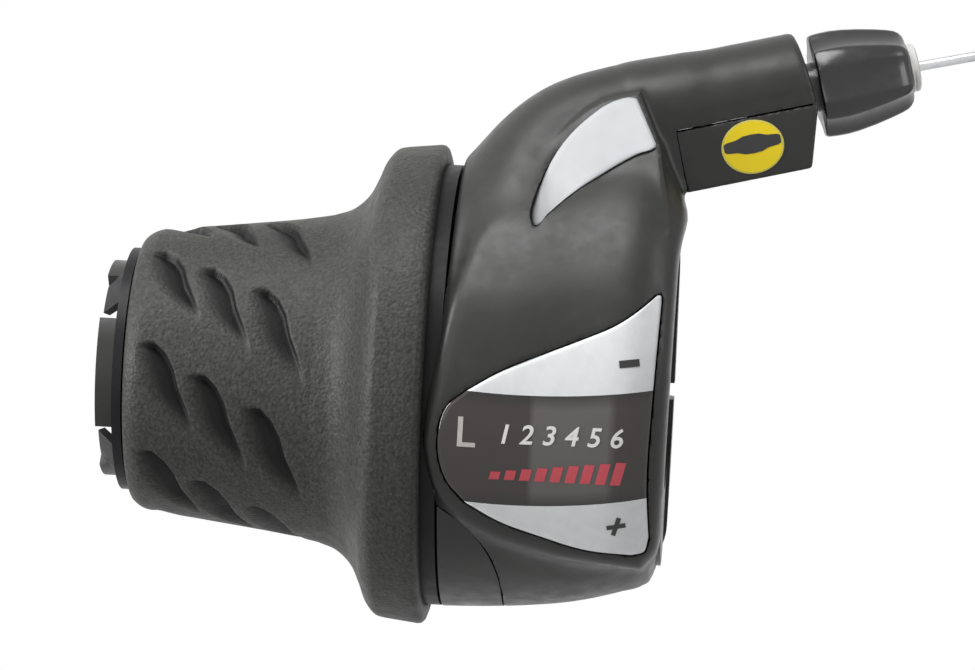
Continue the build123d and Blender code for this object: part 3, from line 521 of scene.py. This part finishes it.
# surface where a distance is zero: every grid edge that it crosses gives a point and a normal, and every
# crossed cell one vertex, where the tangent planes of its crossings meet best; probe is the step for normals
# as a share of a cell, and hold ties a vertex to the middle of its crossings
def surfaceOf(distance, low, high, step, probe=0.04, hold=0.06):
    low = np.array(low)
    axes = [np.arange(a, b, step) for a, b in zip(low, high)]
    field = distance(*np.meshgrid(*axes, indexing="ij"))
    inside = field < 0
    cells = np.array(field.shape) - 1
    quads, places = [], []
    for axis in range(3):
        b, c = (axis + 1) % 3, (axis + 2) % 3
        near, far = [slice(1, -1)] * 3, [slice(1, -1)] * 3
        near[axis], far[axis] = slice(0, -1), slice(1, None)
        nearIn, nearF, farF = inside[tuple(near)], field[tuple(near)], field[tuple(far)]
        edges = np.argwhere(nearIn != inside[tuple(far)])
        at = tuple(edges.T)
        flip, share = nearIn[at], nearF[at] / (nearF[at] - farF[at])
        edges[:, [b, c]] += 1
        place = edges.astype(float)
        place[:, axis] += share
        around = []
        for db, dc in ((-1, -1), (0, -1), (0, 0), (-1, 0)):
            cell = edges.copy()
            cell[:, b] += db
            cell[:, c] += dc
            around.append(np.ravel_multi_index(tuple(cell.T), cells))
        quad = np.stack(around, -1)
        quads.append(np.where(flip[:, None], quad, quad[:, ::-1]))
        places.append(low + step * place)
    quads, places = np.vstack(quads), np.vstack(places)
    split = places.T[:, :, None, None]
    base = distance(*split)[:, 0, 0]
    normal = np.empty_like(places)
    for k in range(3):
        moved = [split[m] + (probe * step if m == k else 0.0) for m in range(3)]
        normal[:, k] = distance(*moved)[:, 0, 0] - base
    normal /= np.linalg.norm(normal, axis=1)[:, None] + tiny
    used, number = np.unique(quads, return_inverse=True)
    number = number.reshape(quads.shape)

    # sum over the crossings round each cell
    def gather(values):
        return sum(np.bincount(number[:, k], values, len(used)) for k in range(4))

    count = gather(np.ones(len(quads)))
    mean = np.stack([gather(places[:, k]) for k in range(3)], -1) / count[:, None]
    reach = (normal * places).sum(1)
    pull = hold * count
    left = np.array([[gather(normal[:, m] * normal[:, k]) + (pull if m == k else 0) for k in range(3)]
                     for m in range(3)]).transpose(2, 0, 1)
    right = np.stack([gather(normal[:, k] * reach) for k in range(3)], -1) + pull[:, None] * mean
    points = np.linalg.solve(left, right[:, :, None])[:, :, 0]
    cellLow = low + step * np.stack(np.unravel_index(used, cells), -1)
    return np.clip(points, cellLow, cellLow + step), number


# round skin of the window face, wider towards its right end; its middle shifts back, and half as much up
crownSet = dict(x=[-2.6, 3.0, 10.0, 18.0, 23.6, 27.4], radius=[27.8, 28.2, 29.3, 31.1, 31.0, 28.4],
                shift=[0.0, 0.5, 1.7, 3.3, 4.0, 4.0], rise=0.5)


# shift and radius of the crown at a place along the bar
def crownAt(x):
    return [evenThrough(x, crownSet["x"], crownSet[key]) for key in ("shift", "radius")]


# distance to the crown: from its shifted middle, less its radius
def crownDistance(x, y, z):
    shift, radius = crownAt(x)
    return np.hypot(y - shift, z - crownSet["rise"] * shift) - radius


# depth of the crown's skin, raised by some height, straight behind the place (x, z) of the front view
def crownDepth(x, z, raised):
    shift, radius = crownAt(x)
    return shift - np.sqrt(np.maximum((radius + raised) ** 2 - (z - crownSet["rise"] * shift) ** 2, 0))


windowSet = dict(
    outline=[[(3.3, -11.9), (1.1, -9.4), (0.1, -6.4), (0.05, -3.8), (0.9, -0.9), (3.1, 1.0)],
             [(3.1, 1.0), (6.6, 3.2), (11.1, 5.3), (15.5, 7.2), (20.0, 9.4), (22.6, 11.4), (24.0, 12.75)],
             [(24.0, 12.75), (24.35, 12.75), (24.5, 12.0)],
             [(24.5, 12.0), (24.1, 2.2), (23.9, -10.2), (24.3, -15.2)],
             [(24.3, -15.2), (23.8, -16.9), (22.4, -17.3)],
             [(22.4, -17.3), (17.0, -16.9), (12.1, -15.6), (7.0, -13.9), (3.3, -11.9)]],
    middle=(14.0, -3.4), points=22, rings=16, proud=0.15, thick=1.3, edge=0.16,
    seatDeep=1.35, seatBack=12.0, room=0.15)
labelSet = dict(
    upper=[(9.3, 20.0), (8.95, 21.0), (9.2, 22.8), (10.1, 25.7), (11.6, 28.9), (13.2, 31.1), (14.9, 32.8),
           (16.5, 34.1), (18.2, 34.95), (19.6, 35.25), (20.2, 35.1)],
    lower=[(9.3, 20.0), (9.6, 19.9), (10.5, 20.9), (12.1, 22.5), (14.3, 24.4), (16.5, 26.0), (18.7, 27.5),
           (21.0, 28.8), (22.5, 29.4), (22.8, 29.7), (22.75, 30.0)],
    middle=(16.2, 29.6), points=40, base=0.03, thick=0.35, edge=0.12, room=0.12)
labelSet["outline"] = [labelSet["upper"][::-1], labelSet["lower"],
                       [labelSet["lower"][-1], labelSet["upper"][-1]]]
hoodSet = dict(
    step=0.38, low=(-2.6, -32.0, -27.2), high=(42.4, 9.0, 46.2), back=8.0, faceBack=4.0,
    face=[[(-1.75, -5.4), (-0.9, 0.2), (0.2, 7.4), (1.6, 13.6), (4.0, 19.4), (8.8, 21.0)],
          [(8.8, 21.0), (12.1, 22.4), (16.5, 25.9), (23.0, 29.4)],
          [(23.0, 29.4), (25.5, 25.3), (26.8, 21.6), (26.3, 18.4), (26.1, 15.5)],
          [(26.1, 15.5), (25.7, -14.0)],
          [(25.7, -14.0), (25.2, -17.4), (23.6, -19.4)],
          [(23.6, -19.4), (12.0, -17.8), (2.0, -13.4), (-0.6, -10.0), (-1.75, -5.4)]],
    shellX=[0.0, 9.0, 16.2, 21.0, 23.6, 24.4, 25.0, 26.0],
    shellR=[26.4, 25.9, 24.9, 23.6, 22.7, 22.1, 20.7, 17.4],
    cowl=[(9.0, -12.0, 6.0, 13.6), (8.6, -9.5, 15.0, 11.6), (9.6, -5.6, 23.4, 9.5), (13.4, -3.2, 29.2, 8.0),
          (19.0, -2.3, 32.1, 7.2), (26.0, -1.7, 33.9, 6.9)],  # middle and radius of some of its balls
    cowlBalls=90,
    shoulder=[[(7.0, 13.0), (7.6, 22.0), (11.2, 30.2), (16.0, 34.7), (20.5, 36.0)],
              [(20.5, 36.0), (23.4, 29.6)], [(23.4, 29.6), (25.0, 20.0)], [(25.0, 20.0), (7.0, 13.0)]],
    facetPlace=(9.2, -19.0, 19.4), facetWay=(-0.1, -0.845, 0.525),
    corner=(6.0, -3.445, 28.903), along=(0.96660, 0.08457, 0.24192), noseUp=(-0.24100, -0.02108, 0.97030),
    noseFrom=14.5, coverFrom=18.5, noseEnd=36.2, noseCut=35.3, noseLean=0.08, noseR=6.85, noseHalf=6.8,
    noseDrop=9.2, coverTop=1.8, stemR=3.03, stemRoom=10.5, sealR=4.18, sealRoom=2.15,
    skirt=[[(1.1, -13.2), (3.6, -15.4), (5.5, -17.6), (6.8, -20.4), (7.35, -23.4)],
           [(7.35, -23.4), (7.35, -30.0)], [(7.35, -30.0), (-3.0, -30.0)], [(-3.0, -30.0), (-3.0, -11.0)],
           [(-3.0, -11.0), (1.1, -13.2)]],
    roomX=[-4.0, -0.01, 0.0, 13.0, 22.4, 28.0], roomR=[26.65, 26.65, 23.6, 23.6, 20.4, 20.4],
    leftX=[0.35, 0.2, -0.5, -1.75, -0.3, 2.0], leftZ=[40.0, 26.0, 7.0, -5.4, -12.0, -26.0],
    blends=dict(shellEnd=1.0, faceRim=1.6, faceBack=1.0, face=2.0, cowl=3.5, wedgeEdge=0.5, wedge=0.7,
                armEdge=0.8, armStart=1.0, armEnd=0.7, arm=0.9, left=0.6, seat=0.35))
facetOut = np.array(hoodSet["facetWay"]) / np.linalg.norm(hoodSet["facetWay"])
armCorner = np.array(hoodSet["corner"])
armAlong, armUp = np.array(hoodSet["along"]), np.array(hoodSet["noseUp"])
armFront = np.cross(armAlong, armUp)


# distance along a direction from a point
def alongWay(places, start, way):
    return sum((c - p) * d for c, p, d in zip(places, start, way))


# place along the arm, across it towards the front, and up from its axis
def armPlace(*places):
    return [alongWay(places, armCorner, way) for way in (armAlong, armFront, armUp)]


# the arm less the adjuster's bores: a round room for its stem and a wider one for its seal
def lessBores(body, u, v, w, s=hoodSet):
    pipe = np.hypot(v, w)
    body = less(body, pipe - s["stemR"], s["noseEnd"] - s["stemRoom"] - u)
    return less(body, pipe - s["sealR"], s["noseEnd"] - s["sealRoom"] - u)


# hood: drum shell, crowned window face, cowl of shrinking balls up to the arm, label facet and the arm,
# blended as one moulding, less the seats of the label, nose cover and window, the drum's room, bores and skirt
def hoodDistance(x, y, z, s=hoodSet):
    soft = s["blends"]
    radial = np.hypot(y, z)
    u, v, w = armPlace(x, y, z)

    # distance to an outline of the front view, carried straight back
    def carried(stretches, count=14):
        return outlineDistance(x[:, :1, :], z[:, :1, :], smoothOutline(stretches, count)) + 0 * y

    shell = common(radial - smoothThrough(x, s["shellX"], s["shellR"]), x - s["shellX"][-1], soft["shellEnd"])
    crown = crownDistance(x, y, z)
    face = common(common(crown, carried(s["face"]), soft["faceRim"]), y + s["faceBack"], soft["faceBack"])
    body = join(shell, face, soft["face"])
    cowl = np.full(x.shape, farOff)
    for cx, cy, cz, r in smoothLine(s["cowl"], s["cowlBalls"]):
        cowl = np.minimum(cowl, np.sqrt((x - cx) ** 2 + (y - cy) ** 2 + (z - cz) ** 2) - r)
    body = join(body, cowl, soft["cowl"])
    facet = alongWay((x, y, z), s["facetPlace"], facetOut)
    wedge = common(common(carried(s["shoulder"]), facet, soft["wedgeEdge"]), y, soft["wedgeEdge"])
    body = join(body, wedge, soft["wedge"])
    block = common(np.abs(v) - s["noseHalf"], -w - s["noseDrop"], soft["armEdge"])
    arm = np.where(w > 0, np.hypot(v, w) - s["noseR"], block)
    arm = common(arm, s["noseFrom"] - u, soft["armStart"])
    arm = common(arm, u - s["noseCut"] + s["noseLean"] * w, soft["armEnd"])
    body = join(body, arm, soft["arm"])
    body = common(body, smoothThrough(-z, [-k for k in s["leftZ"]], s["leftX"]) - x, soft["left"])
    # seats, hollow and openings
    body = less(body, carried(labelSet["outline"], labelSet["points"]) - labelSet["room"], -facet)
    body = np.maximum(body, y - s["back"])
    body = less(body, radial - np.interp(x, s["roomX"], s["roomR"]))
    body = less(body, w + s["coverTop"], s["coverFrom"] - u)
    body = lessBores(body, u, v, w)
    body = less(body, carried(s["skirt"]))
    seat = np.maximum(carried(windowSet["outline"]) - windowSet["room"], -crown - windowSet["seatDeep"])
    return common(body, -np.maximum(seat, y + windowSet["seatBack"]), soft["seat"])


coverSet = dict(step=0.27, low=(20.0, -13.0, 20.0), high=(45.0, 12.0, 40.0), start=18.55, top=-1.95, end=35.6,
                slope=0.3, screwU=22.5, screwV=-4.2, holeR=1.35, headR=2.36, headDeep=1.58,
                blends=dict(edge=0.3, start=0.05, end=0.5))


# nose cover: a block under the arm with eased edges and a sloping end, less the bores and the screw's seat
def coverDistance(x, y, z, s=coverSet, h=hoodSet):
    soft = s["blends"]
    u, v, w = armPlace(x, y, z)
    body = common(np.abs(v) - h["noseHalf"], -w - h["noseDrop"], soft["edge"])
    body = common(body, w - s["top"], soft["edge"])
    body = common(body, s["start"] - u, soft["start"])
    body = common(body, u - s["end"] - s["slope"] * (w - s["top"]), soft["end"])
    body = lessBores(body, u, v, w)
    screw = np.hypot(u - s["screwU"], v - s["screwV"])
    body = less(body, screw - s["holeR"])
    return less(body, screw - s["headR"], w + h["noseDrop"] - s["headDeep"])


# housing moulding: the zero surface of a distance, with its hard edges kept sharp
def mould(name, node, distance, s, sharp=38):
    points, quads = surfaceOf(distance, s["low"], s["high"], s["step"])
    piece = newPiece(name, points, quads, "housing", sharp=sharp)
    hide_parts(node)
    dress(piece, "housing_plastic")
    print(name, "quads:", len(quads))


mould("hoodShell", "hood", hoodDistance, hoodSet)
mould("noseBlock", "nose_cover", coverDistance, coverSet)


# place on the crown's skin, some height above it, straight behind the place (x, z) of the front view
def onCrown(x, z, height):
    return np.stack([x, crownDepth(x, z, height), z], -1)


# place on the label facet, some height above it: the plane solved for its depth
def onFacet(x, z, height):
    px, py, pz = hoodSet["facetPlace"]
    return np.stack([x, py + (height - facetOut[0] * (x - px) - facetOut[2] * (z - pz)) / facetOut[1], z], -1)


# place on the arm's front side: u along the arm, w up from its axis
def onArm(u, w, height):
    out = np.asarray(hoodSet["noseHalf"] + height)
    return armCorner + u[..., None] * armAlong + w[..., None] * armUp + out[..., None] * armFront


# label: satin silver film in the crescent recess
label = newPlate("labelFilm", smoothOutline(labelSet["outline"], labelSet["points"]), labelSet["middle"],
                 onFacet, labelSet["base"], labelSet["thick"], "housing", edge=labelSet["edge"])
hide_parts("hood_label")
dress(label, "silver_label")

paneLook = dict(
    upper=(3.1, 1.0, -0.0708, 0.00579), lower=(3.4, -11.8, -0.07, 0.0068),  # start, height, slope and bend
    tint=(52, 48, 46), roughness=0.1, paint=((204, 206, 207), (212, 214, 215)), paintGrain=1.6,
    # rim: painted shade along the band's edges
    paintRough=0.36, rim=(24, 22, 22), rimShadePerMm=0.5, rimShadeGrain=5.0, rimShadeWaver=0.6, smoke=(50, 44, 42),
    # glare: painted glare, a paler middle of the band
    card=(84, 82, 80), cardLeft=(10.2, 10.9), cardRight=(19.2, 20.2), grain=0.3, grainHeight=0.002)


# window: smoked band with painted shade along its rim and a painted glare, a paler middle, between two painted
# silver fields; two parabolas z(x) part them
def windowFinish(s):
    f = Finish("windowSmoke", srgb(*s["tint"]), s["roughness"])
    split = f.node("ShaderNodeSeparateXYZ")
    f.link(f.place, split.inputs["Vector"])
    x, z = (maths(f.tree, "MULTIPLY", split.outputs[k], 1 / mm) for k in ("X", "Z"))

    # height plus slope and bend times the run from a start
    def parabola(start, height, slope, bend):
        run = maths(f.tree, "SUBTRACT", x, start)
        return maths(f.tree, "MULTIPLY_ADD", maths(f.tree, "MULTIPLY_ADD", run, bend, slope), run, height)

    below = maths(f.tree, "SUBTRACT", parabola(*s["upper"]), z)
    inBand = maths(f.tree, "MINIMUM", below, maths(f.tree, "SUBTRACT", z, parabola(*s["lower"])))
    isBand = maths(f.tree, "GREATER_THAN", inBand, 0.0)
    # painted shade: darker towards the band's edges, with a wavy reach
    shadeReach = maths(f.tree, "MULTIPLY_ADD", f.noise(s["rimShadeGrain"]), s["rimShadeWaver"], inBand)
    clearOfRimShade = f.spread(maths(f.tree, "MULTIPLY", shadeReach, s["rimShadePerMm"]), 0.0, 1.0, 0.0, 1.0)
    # painted glare: the band is paler between two places along it
    afterLeft, beforeRight = f.spread(x, 0.0, 1.0, *s["cardLeft"]), f.spread(x, 1.0, 0.0, *s["cardRight"])
    inGlare = maths(f.tree, "MINIMUM", afterLeft, beforeRight)
    behind = f.ramp(inGlare, srgb(*s["smoke"]), srgb(*s["card"]), 0.0, 1.0)
    paint = f.ramp(f.noise(s["paintGrain"]), *(srgb(*tint) for tint in s["paint"]))
    f.colour(f.over(isBand, paint, f.over(clearOfRimShade, srgb(*s["rim"]), behind)))
    f.gloss(f.spread(isBand, s["paintRough"], s["roughness"], 0.0, 1.0))
    f.bump(f.noise(s["grain"]), s["grainHeight"])
    return f.material


pane = newPlate("windowPane", smoothOutline(windowSet["outline"], windowSet["points"]), windowSet["middle"],
                onCrown, windowSet["proud"] - windowSet["thick"], windowSet["proud"], "housing",
                edge=windowSet["edge"], rings=windowSet["rings"])
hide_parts("window_lens")
dress(pane, "smoked_lens", windowFinish(paneLook))

# ink: name, tint and shade in sRGB
inkRows = {
    "white": ("inkWhite", (222, 221, 219), (214, 213, 211)),
    "grey": ("inkGrey", (186, 181, 176), (178, 173, 168)),
    "red": ("inkRed", (190, 70, 82), (180, 60, 72)),
    "black": ("inkBlack", (34, 34, 34), (28, 28, 28)),
}
inks = {ink: mouldedFinish(*row, roughness=0.4, grain=0.3, height=0.001) for ink, row in inkRows.items()}
printSet = dict(sunk=0.02, raised=0.03, rings=5, textHalf=0.025, textBold=0.045, textCurve=5, textRaised=0.04)


# printed mark: a flat outline laid on a surface, from just under a height to just over it
def printMark(name, outline, centre, surface, ink, slotName, base, s=printSet):
    low, high = base - s["sunk"], base + s["raised"]
    mark = newPlate(name, outline, centre, surface, low, high, "housing", rings=s["rings"])
    dress(mark, slotName, inks[ink])


# (x, z) about a place, turned by a tilt in degrees
def turned(place, u, v, tilt):
    c, s = math.cos(math.radians(tilt)), math.sin(math.radians(tilt))
    return place[0] + c * u - s * v, place[1] + s * u + c * v


# printed letters: a text curve turned into a mesh, then laid on the crown
def printText(name, text, size, place, tilt, shear, ink, s=printSet):
    curve = bpy.data.curves.new(name, "FONT")
    curve.body, curve.size, curve.shear = text, size, shear
    curve.extrude, curve.offset, curve.resolution_u = s["textHalf"], s["textBold"], s["textCurve"]
    curve.align_x, curve.align_y = "CENTER", "CENTER"
    holder = bpy.data.objects.new(name, curve)
    scene.collection.objects.link(holder)
    bpy.context.view_layer.update()
    drawn = bpy.data.meshes.new_from_object(holder)
    points = np.array([v.co[:] for v in drawn.vertices])
    faces = [list(face.vertices) for face in drawn.polygons]
    bpy.data.objects.remove(holder)
    x, z = turned(place, points[:, 0], points[:, 1], tilt)
    height = windowSet["proud"] + s["textRaised"] + points[:, 2]
    mark = newPiece(name, onCrown(x, z, height), faces, "housing", smooth=False)
    dress(mark, "smoked_lens", inks[ink])


# printed bar on the window: corners about its middle that lean by a shear and turn by a tilt, with more
# points along each side
def printBar(name, place, size, tilt, lean, ink, lift, sidePoints):
    half = np.array(size) / 2
    u, v = np.array([(-1, -1), (1, -1), (1, 1), (-1, 1)]).T * half[:, None]
    corners = np.stack(turned(place, u + lean * v, v, tilt), -1)
    share = np.arange(sidePoints)[None, :, None] / sidePoints
    outline = (corners[:, None] + share * (np.roll(corners, -1, axis=0) - corners)[:, None]).reshape(-1, 2)
    printMark(name, outline, place, onCrown, ink, "smoked_lens", windowSet["proud"] + lift)


lowSet = dict(text="L", size=4.9, place=(3.1, -3.9), tilt=-1.0, shear=0.0, ink="grey")
gearSet = dict(count=6, size=3.1, x=7.4, stepX=2.55, z=-3.85, stepZ=0.03, tilt=1.0, shear=0.22, ink="white")
pullSet = dict(count=9, x=6.6, stepX=1.75, foot=-9.0, wide=1.15, tall=0.9, grow=0.22)
pullLook = dict(tilt=1.0, lean=0.25, ink="red", lift=0.03, sidePoints=4)
signRows = {
    "markMinus": dict(place=(21.3, 5.0), size=(2.3, 0.85), tilt=8.0, lift=0.02),
    "markPlusFlat": dict(place=(20.6, -13.9), size=(2.2, 0.52), tilt=12.0, lift=0.02),
    "markPlusTall": dict(place=(20.6, -13.9), size=(2.2, 0.52), tilt=74.0, lift=0.03),
}

printText("markLow", **lowSet)
for k in range(gearSet["count"]):
    place = (gearSet["x"] + gearSet["stepX"] * k, gearSet["z"] + gearSet["stepZ"] * k)
    printText(f"markGear{k + 1}", str(k + 1), gearSet["size"], place, gearSet["tilt"], gearSet["shear"],
              gearSet["ink"])
for k in range(pullSet["count"]):
    tall = pullSet["tall"] + pullSet["grow"] * k
    place = (pullSet["x"] + pullSet["stepX"] * k, pullSet["foot"] + tall / 2)
    printBar(f"markPull{k + 1}", place, (pullSet["wide"], tall), **pullLook)
for name, sign in signRows.items():
    printBar(name, **sign, lean=0.0, ink="black", sidePoints=5)
print("label, window and print laid")

stickerSet = dict(
    along=27.0, drop=5.4, wide=7.4, high=6.3, points=72, film=(0.005, 0.12), filmEdge=0.03, field=(0.1, 0.135),
    fieldShare=0.94, bandUp=0.35, bandHalf=3.4, endPower=0.5, sidePower=0.35, bandTall=0.72, bulge=0.4,
    bulgeHalf=1.5, bandBase=0.14,
    rim=dict(tint=(206, 196, 96), shade=(196, 186, 84), roughness=0.4, grain=0.3, height=0.002))


# a power of a number's size, with its sign kept
def signedPower(value, power):
    return np.sign(value) * np.abs(value) ** power


# sticker: yellow oval with a pale rim and a plain dark band, a blunt oval that bulges in its middle
def makeSticker(s):
    turn = np.linspace(0, 2 * np.pi, s["points"], endpoint=False)
    oval = np.stack([np.cos(turn) * s["wide"] / 2, np.sin(turn) * s["high"] / 2], -1)
    middle = np.array([s["along"], -s["drop"]])
    film = newPlate("stickerFilm", middle + oval, middle, onArm, *s["film"], "housing", edge=s["filmEdge"])
    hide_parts("round_sticker")
    dress(film, "yellow_label", mouldedFinish("stickerRim", **s["rim"]))
    field = newPlate("stickerField", middle + oval * s["fieldShare"], middle, onArm, *s["field"], "housing")
    dress(field, "yellow_label")
    run = signedPower(np.cos(turn), s["endPower"]) * s["bandHalf"]
    tall = s["bandTall"] + s["bulge"] * np.exp(-(run / s["bulgeHalf"]) ** 4)
    band = np.stack([run, signedPower(np.sin(turn), s["sidePower"]) * tall], -1)
    bandMiddle = middle + (0.0, s["bandUp"])
    printMark("stickerBand", bandMiddle + band, bandMiddle, onArm, "black", "yellow_label", s["bandBase"])


makeSticker(stickerSet)

# profiles are (along, radius) from the arm's end; seatedBy is how far in the pieces sit
knobSet = dict(
    profile=[(-8.0, 1.1), (-8.0, 2.95), (1.0, 2.95), (1.0, 5.85), (1.08, 6.02), (1.4, 6.14), (2.4, 6.22),
             (3.6, 6.24), (5.0, 6.12), (7.0, 5.8), (9.0, 5.38), (10.4, 5.02), (11.2, 4.74), (11.7, 4.4),
             (12.05, 3.95), (12.2, 3.5), (12.2, 3.03), (7.7, 3.03), (7.7, 1.1)],
    fluteCount=6, fluteR=7.0, fluteDepth=0.62, fluteLeastR=3.6, knobLeastR=3.4, knobFrom=1.0, fluteBlend=0.12,
    turns=192, seatedBy=0.8)
ferruleSet = dict(profile=[(7.7, 1.1), (7.7, 2.95), (12.3, 2.95), (12.5, 2.8), (12.7, 2.9), (13.0, 2.85),
                           (13.2, 2.55), (13.2, 1.9), (12.9, 1.5), (12.6, 1.1)],
                  fluteCount=0, turns=64, seatedBy=0.8)
sealSet = dict(along=-0.675, ringR=3.6, cordR=0.57, cordPoints=24, fluteCount=0, turns=96, seatedBy=0.8)
sealTurn = 2 * np.pi * np.arange(sealSet["cordPoints"]) / sealSet["cordPoints"]
sealSet["profile"] = np.stack([sealSet["along"] + sealSet["cordR"] * np.cos(sealTurn),
                               sealSet["ringR"] + sealSet["cordR"] * np.sin(sealTurn)], -1)


# piece turned on the arm's axis from a profile, cut by any broad flutes: round bars laid along its taper
def turnOnArm(name, s, body):
    u, r = np.array(s["profile"]).T
    turn = np.linspace(0, 2 * np.pi, s["turns"], endpoint=False)
    radius = r[:, None] + 0 * turn
    if s["fluteCount"]:
        period = 2 * np.pi / s["fluteCount"]
        off = np.mod(turn + period / 2, period) - period / 2
        far = np.maximum(r, s["fluteLeastR"])[:, None] + s["fluteR"] - s["fluteDepth"]
        sink = s["fluteR"] ** 2 - (far * np.sin(off)) ** 2
        bar = np.where(sink > 0, far * np.cos(off) - np.sqrt(np.maximum(sink, 0)), farOff)
        onKnob = ((r > s["knobLeastR"]) & (u >= s["knobFrom"]))[:, None]
        radius = np.where(onKnob, join(radius, bar, s["fluteBlend"]), radius)
    axis = armCorner + (hoodSet["noseEnd"] - s["seatedBy"] + u)[:, None, None] * armAlong
    points = axis + radius[..., None] * (np.cos(turn)[:, None] * armFront + np.sin(turn)[:, None] * armUp)
    return newPiece(name, points, gridQuads(len(u), s["turns"], True, True), body, sharp=34)


knob = turnOnArm("adjusterKnob", knobSet, "adjuster")
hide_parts("adjuster_barrel")
dress(knob, "adjuster_plastic")
ferrule = turnOnArm("casingFerrule", ferruleSet, "casing")
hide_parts("casing_seat")
dress(ferrule, "white_nylon")
seal = turnOnArm("sealRing", sealSet, "housing")
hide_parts("adjuster_ring")
dress(seal, "seal_rubber")
print("sticker and adjuster made")

studioSet = dict(floorDrop=42.0, floorSize=3000.0, shadowFrom=110.0, shadowTo=280.0, nearShare=0.76,
                 floorLight=0.5, floorSeen=0.95, floorRough=0.9, floorGrain=3.0, floorGrainHeight=0.05,
                 worldLight=0.1)
lamps = {
    "softTop": dict(place=(-120, -170, 420), aim=(0, 0, 5), size=(300, 260), power=2.0),
    "softLeft": dict(place=(-420, -140, 110), aim=(0, 0, 5), size=(100, 340), power=2.5),
    "softFront": dict(place=(-200, -430, 90), aim=(0, 0, 5), size=(90, 320), power=0.22),
    "softRight": dict(place=(330, -160, 190), aim=(10, 0, 5), size=(120, 300), power=0.4),
}


# 1 for rays from the camera, off mirrors and through glass
def whiteRays(tree, ray):
    total = ray.outputs["Is Camera Ray"]
    for kind in ("Is Glossy Ray", "Is Transmission Ray"):
        total = maths(tree, "MAXIMUM", total, ray.outputs[kind])
    return total


# floor: pale paper well below; white to the camera far off, and near the object its shadow stays in
def makeFloor(s):
    low = min(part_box(n)[0][2] for n in nodes) - s["floorDrop"] * mm
    half = s["floorSize"] / 2 * mm
    corners = [(-half, -half, low), (half, -half, low), (half, half, low), (-half, half, low)]
    mesh = bpy.data.meshes.new("studioFloor")
    mesh.from_pydata(corners, [], [(0, 1, 2, 3)])
    floor = bpy.data.objects.new("studioFloor", mesh)
    scene.collection.objects.link(floor)
    f = Finish("floorPaper", (s["floorLight"],) * 3, s["floorRough"])
    f.bump(f.noise(s["floorGrain"]), s["floorGrainHeight"])
    ray = f.node("ShaderNodeLightPath")
    f.colour(f.spread(ray.outputs["Is Camera Ray"], s["floorLight"], s["floorSeen"], 0.0, 1.0))
    far = f.node("ShaderNodeVectorMath", operation="LENGTH")
    f.link(f.place, far.inputs[0])
    white = f.spread(far.outputs["Value"], s["nearShare"], 1.0, s["shadowFrom"] * mm, s["shadowTo"] * mm)
    glow = f.node("ShaderNodeEmission")
    mix = f.node("ShaderNodeMixShader")
    f.link(maths(f.tree, "MULTIPLY", whiteRays(f.tree, ray), white), mix.inputs["Fac"])
    f.link(f.shader.outputs["BSDF"], mix.inputs[1])
    f.link(glow.outputs["Emission"], mix.inputs[2])
    f.link(mix.outputs["Shader"], f.tree.nodes["Material Output"].inputs["Surface"])
    mesh.materials.append(f.material)


# soft lamp: a rectangle that faces its aim, level across
def makeLamp(name, s):
    data = bpy.data.lights.new(name, "AREA")
    data.shape = "RECTANGLE"
    data.size, data.size_y = (side * mm for side in s["size"])
    data.energy = s["power"]
    place = np.array(s["place"], float)
    back = place - s["aim"]
    back /= np.linalg.norm(back)
    side = np.cross((0, 0, 1), back)
    side /= np.linalg.norm(side)
    setPlace(bpy.data.objects.new(name, data), side, np.cross(back, side), back, place)


# world: white to the camera and to mirrors, an even grey as light
def makeWorld(s):
    world = bpy.data.worlds.new("studioWorld")
    world.use_nodes = True
    tree = world.node_tree
    background = tree.nodes["Background"]
    background.inputs["Color"].default_value = (1, 1, 1, 1)
    ray = tree.nodes.new("ShaderNodeLightPath")
    mix = tree.nodes.new("ShaderNodeMapRange")
    mix.inputs["To Min"].default_value = s["worldLight"]
    mix.inputs["To Max"].default_value = 1.0
    tree.links.new(whiteRays(tree, ray), mix.inputs["Value"])
    tree.links.new(mix.outputs["Result"], background.inputs["Strength"])
    scene.world = world


makeFloor(studioSet)
for name, lamp in lamps.items():
    makeLamp(name, lamp)
makeWorld(studioSet)
print("studio lit")
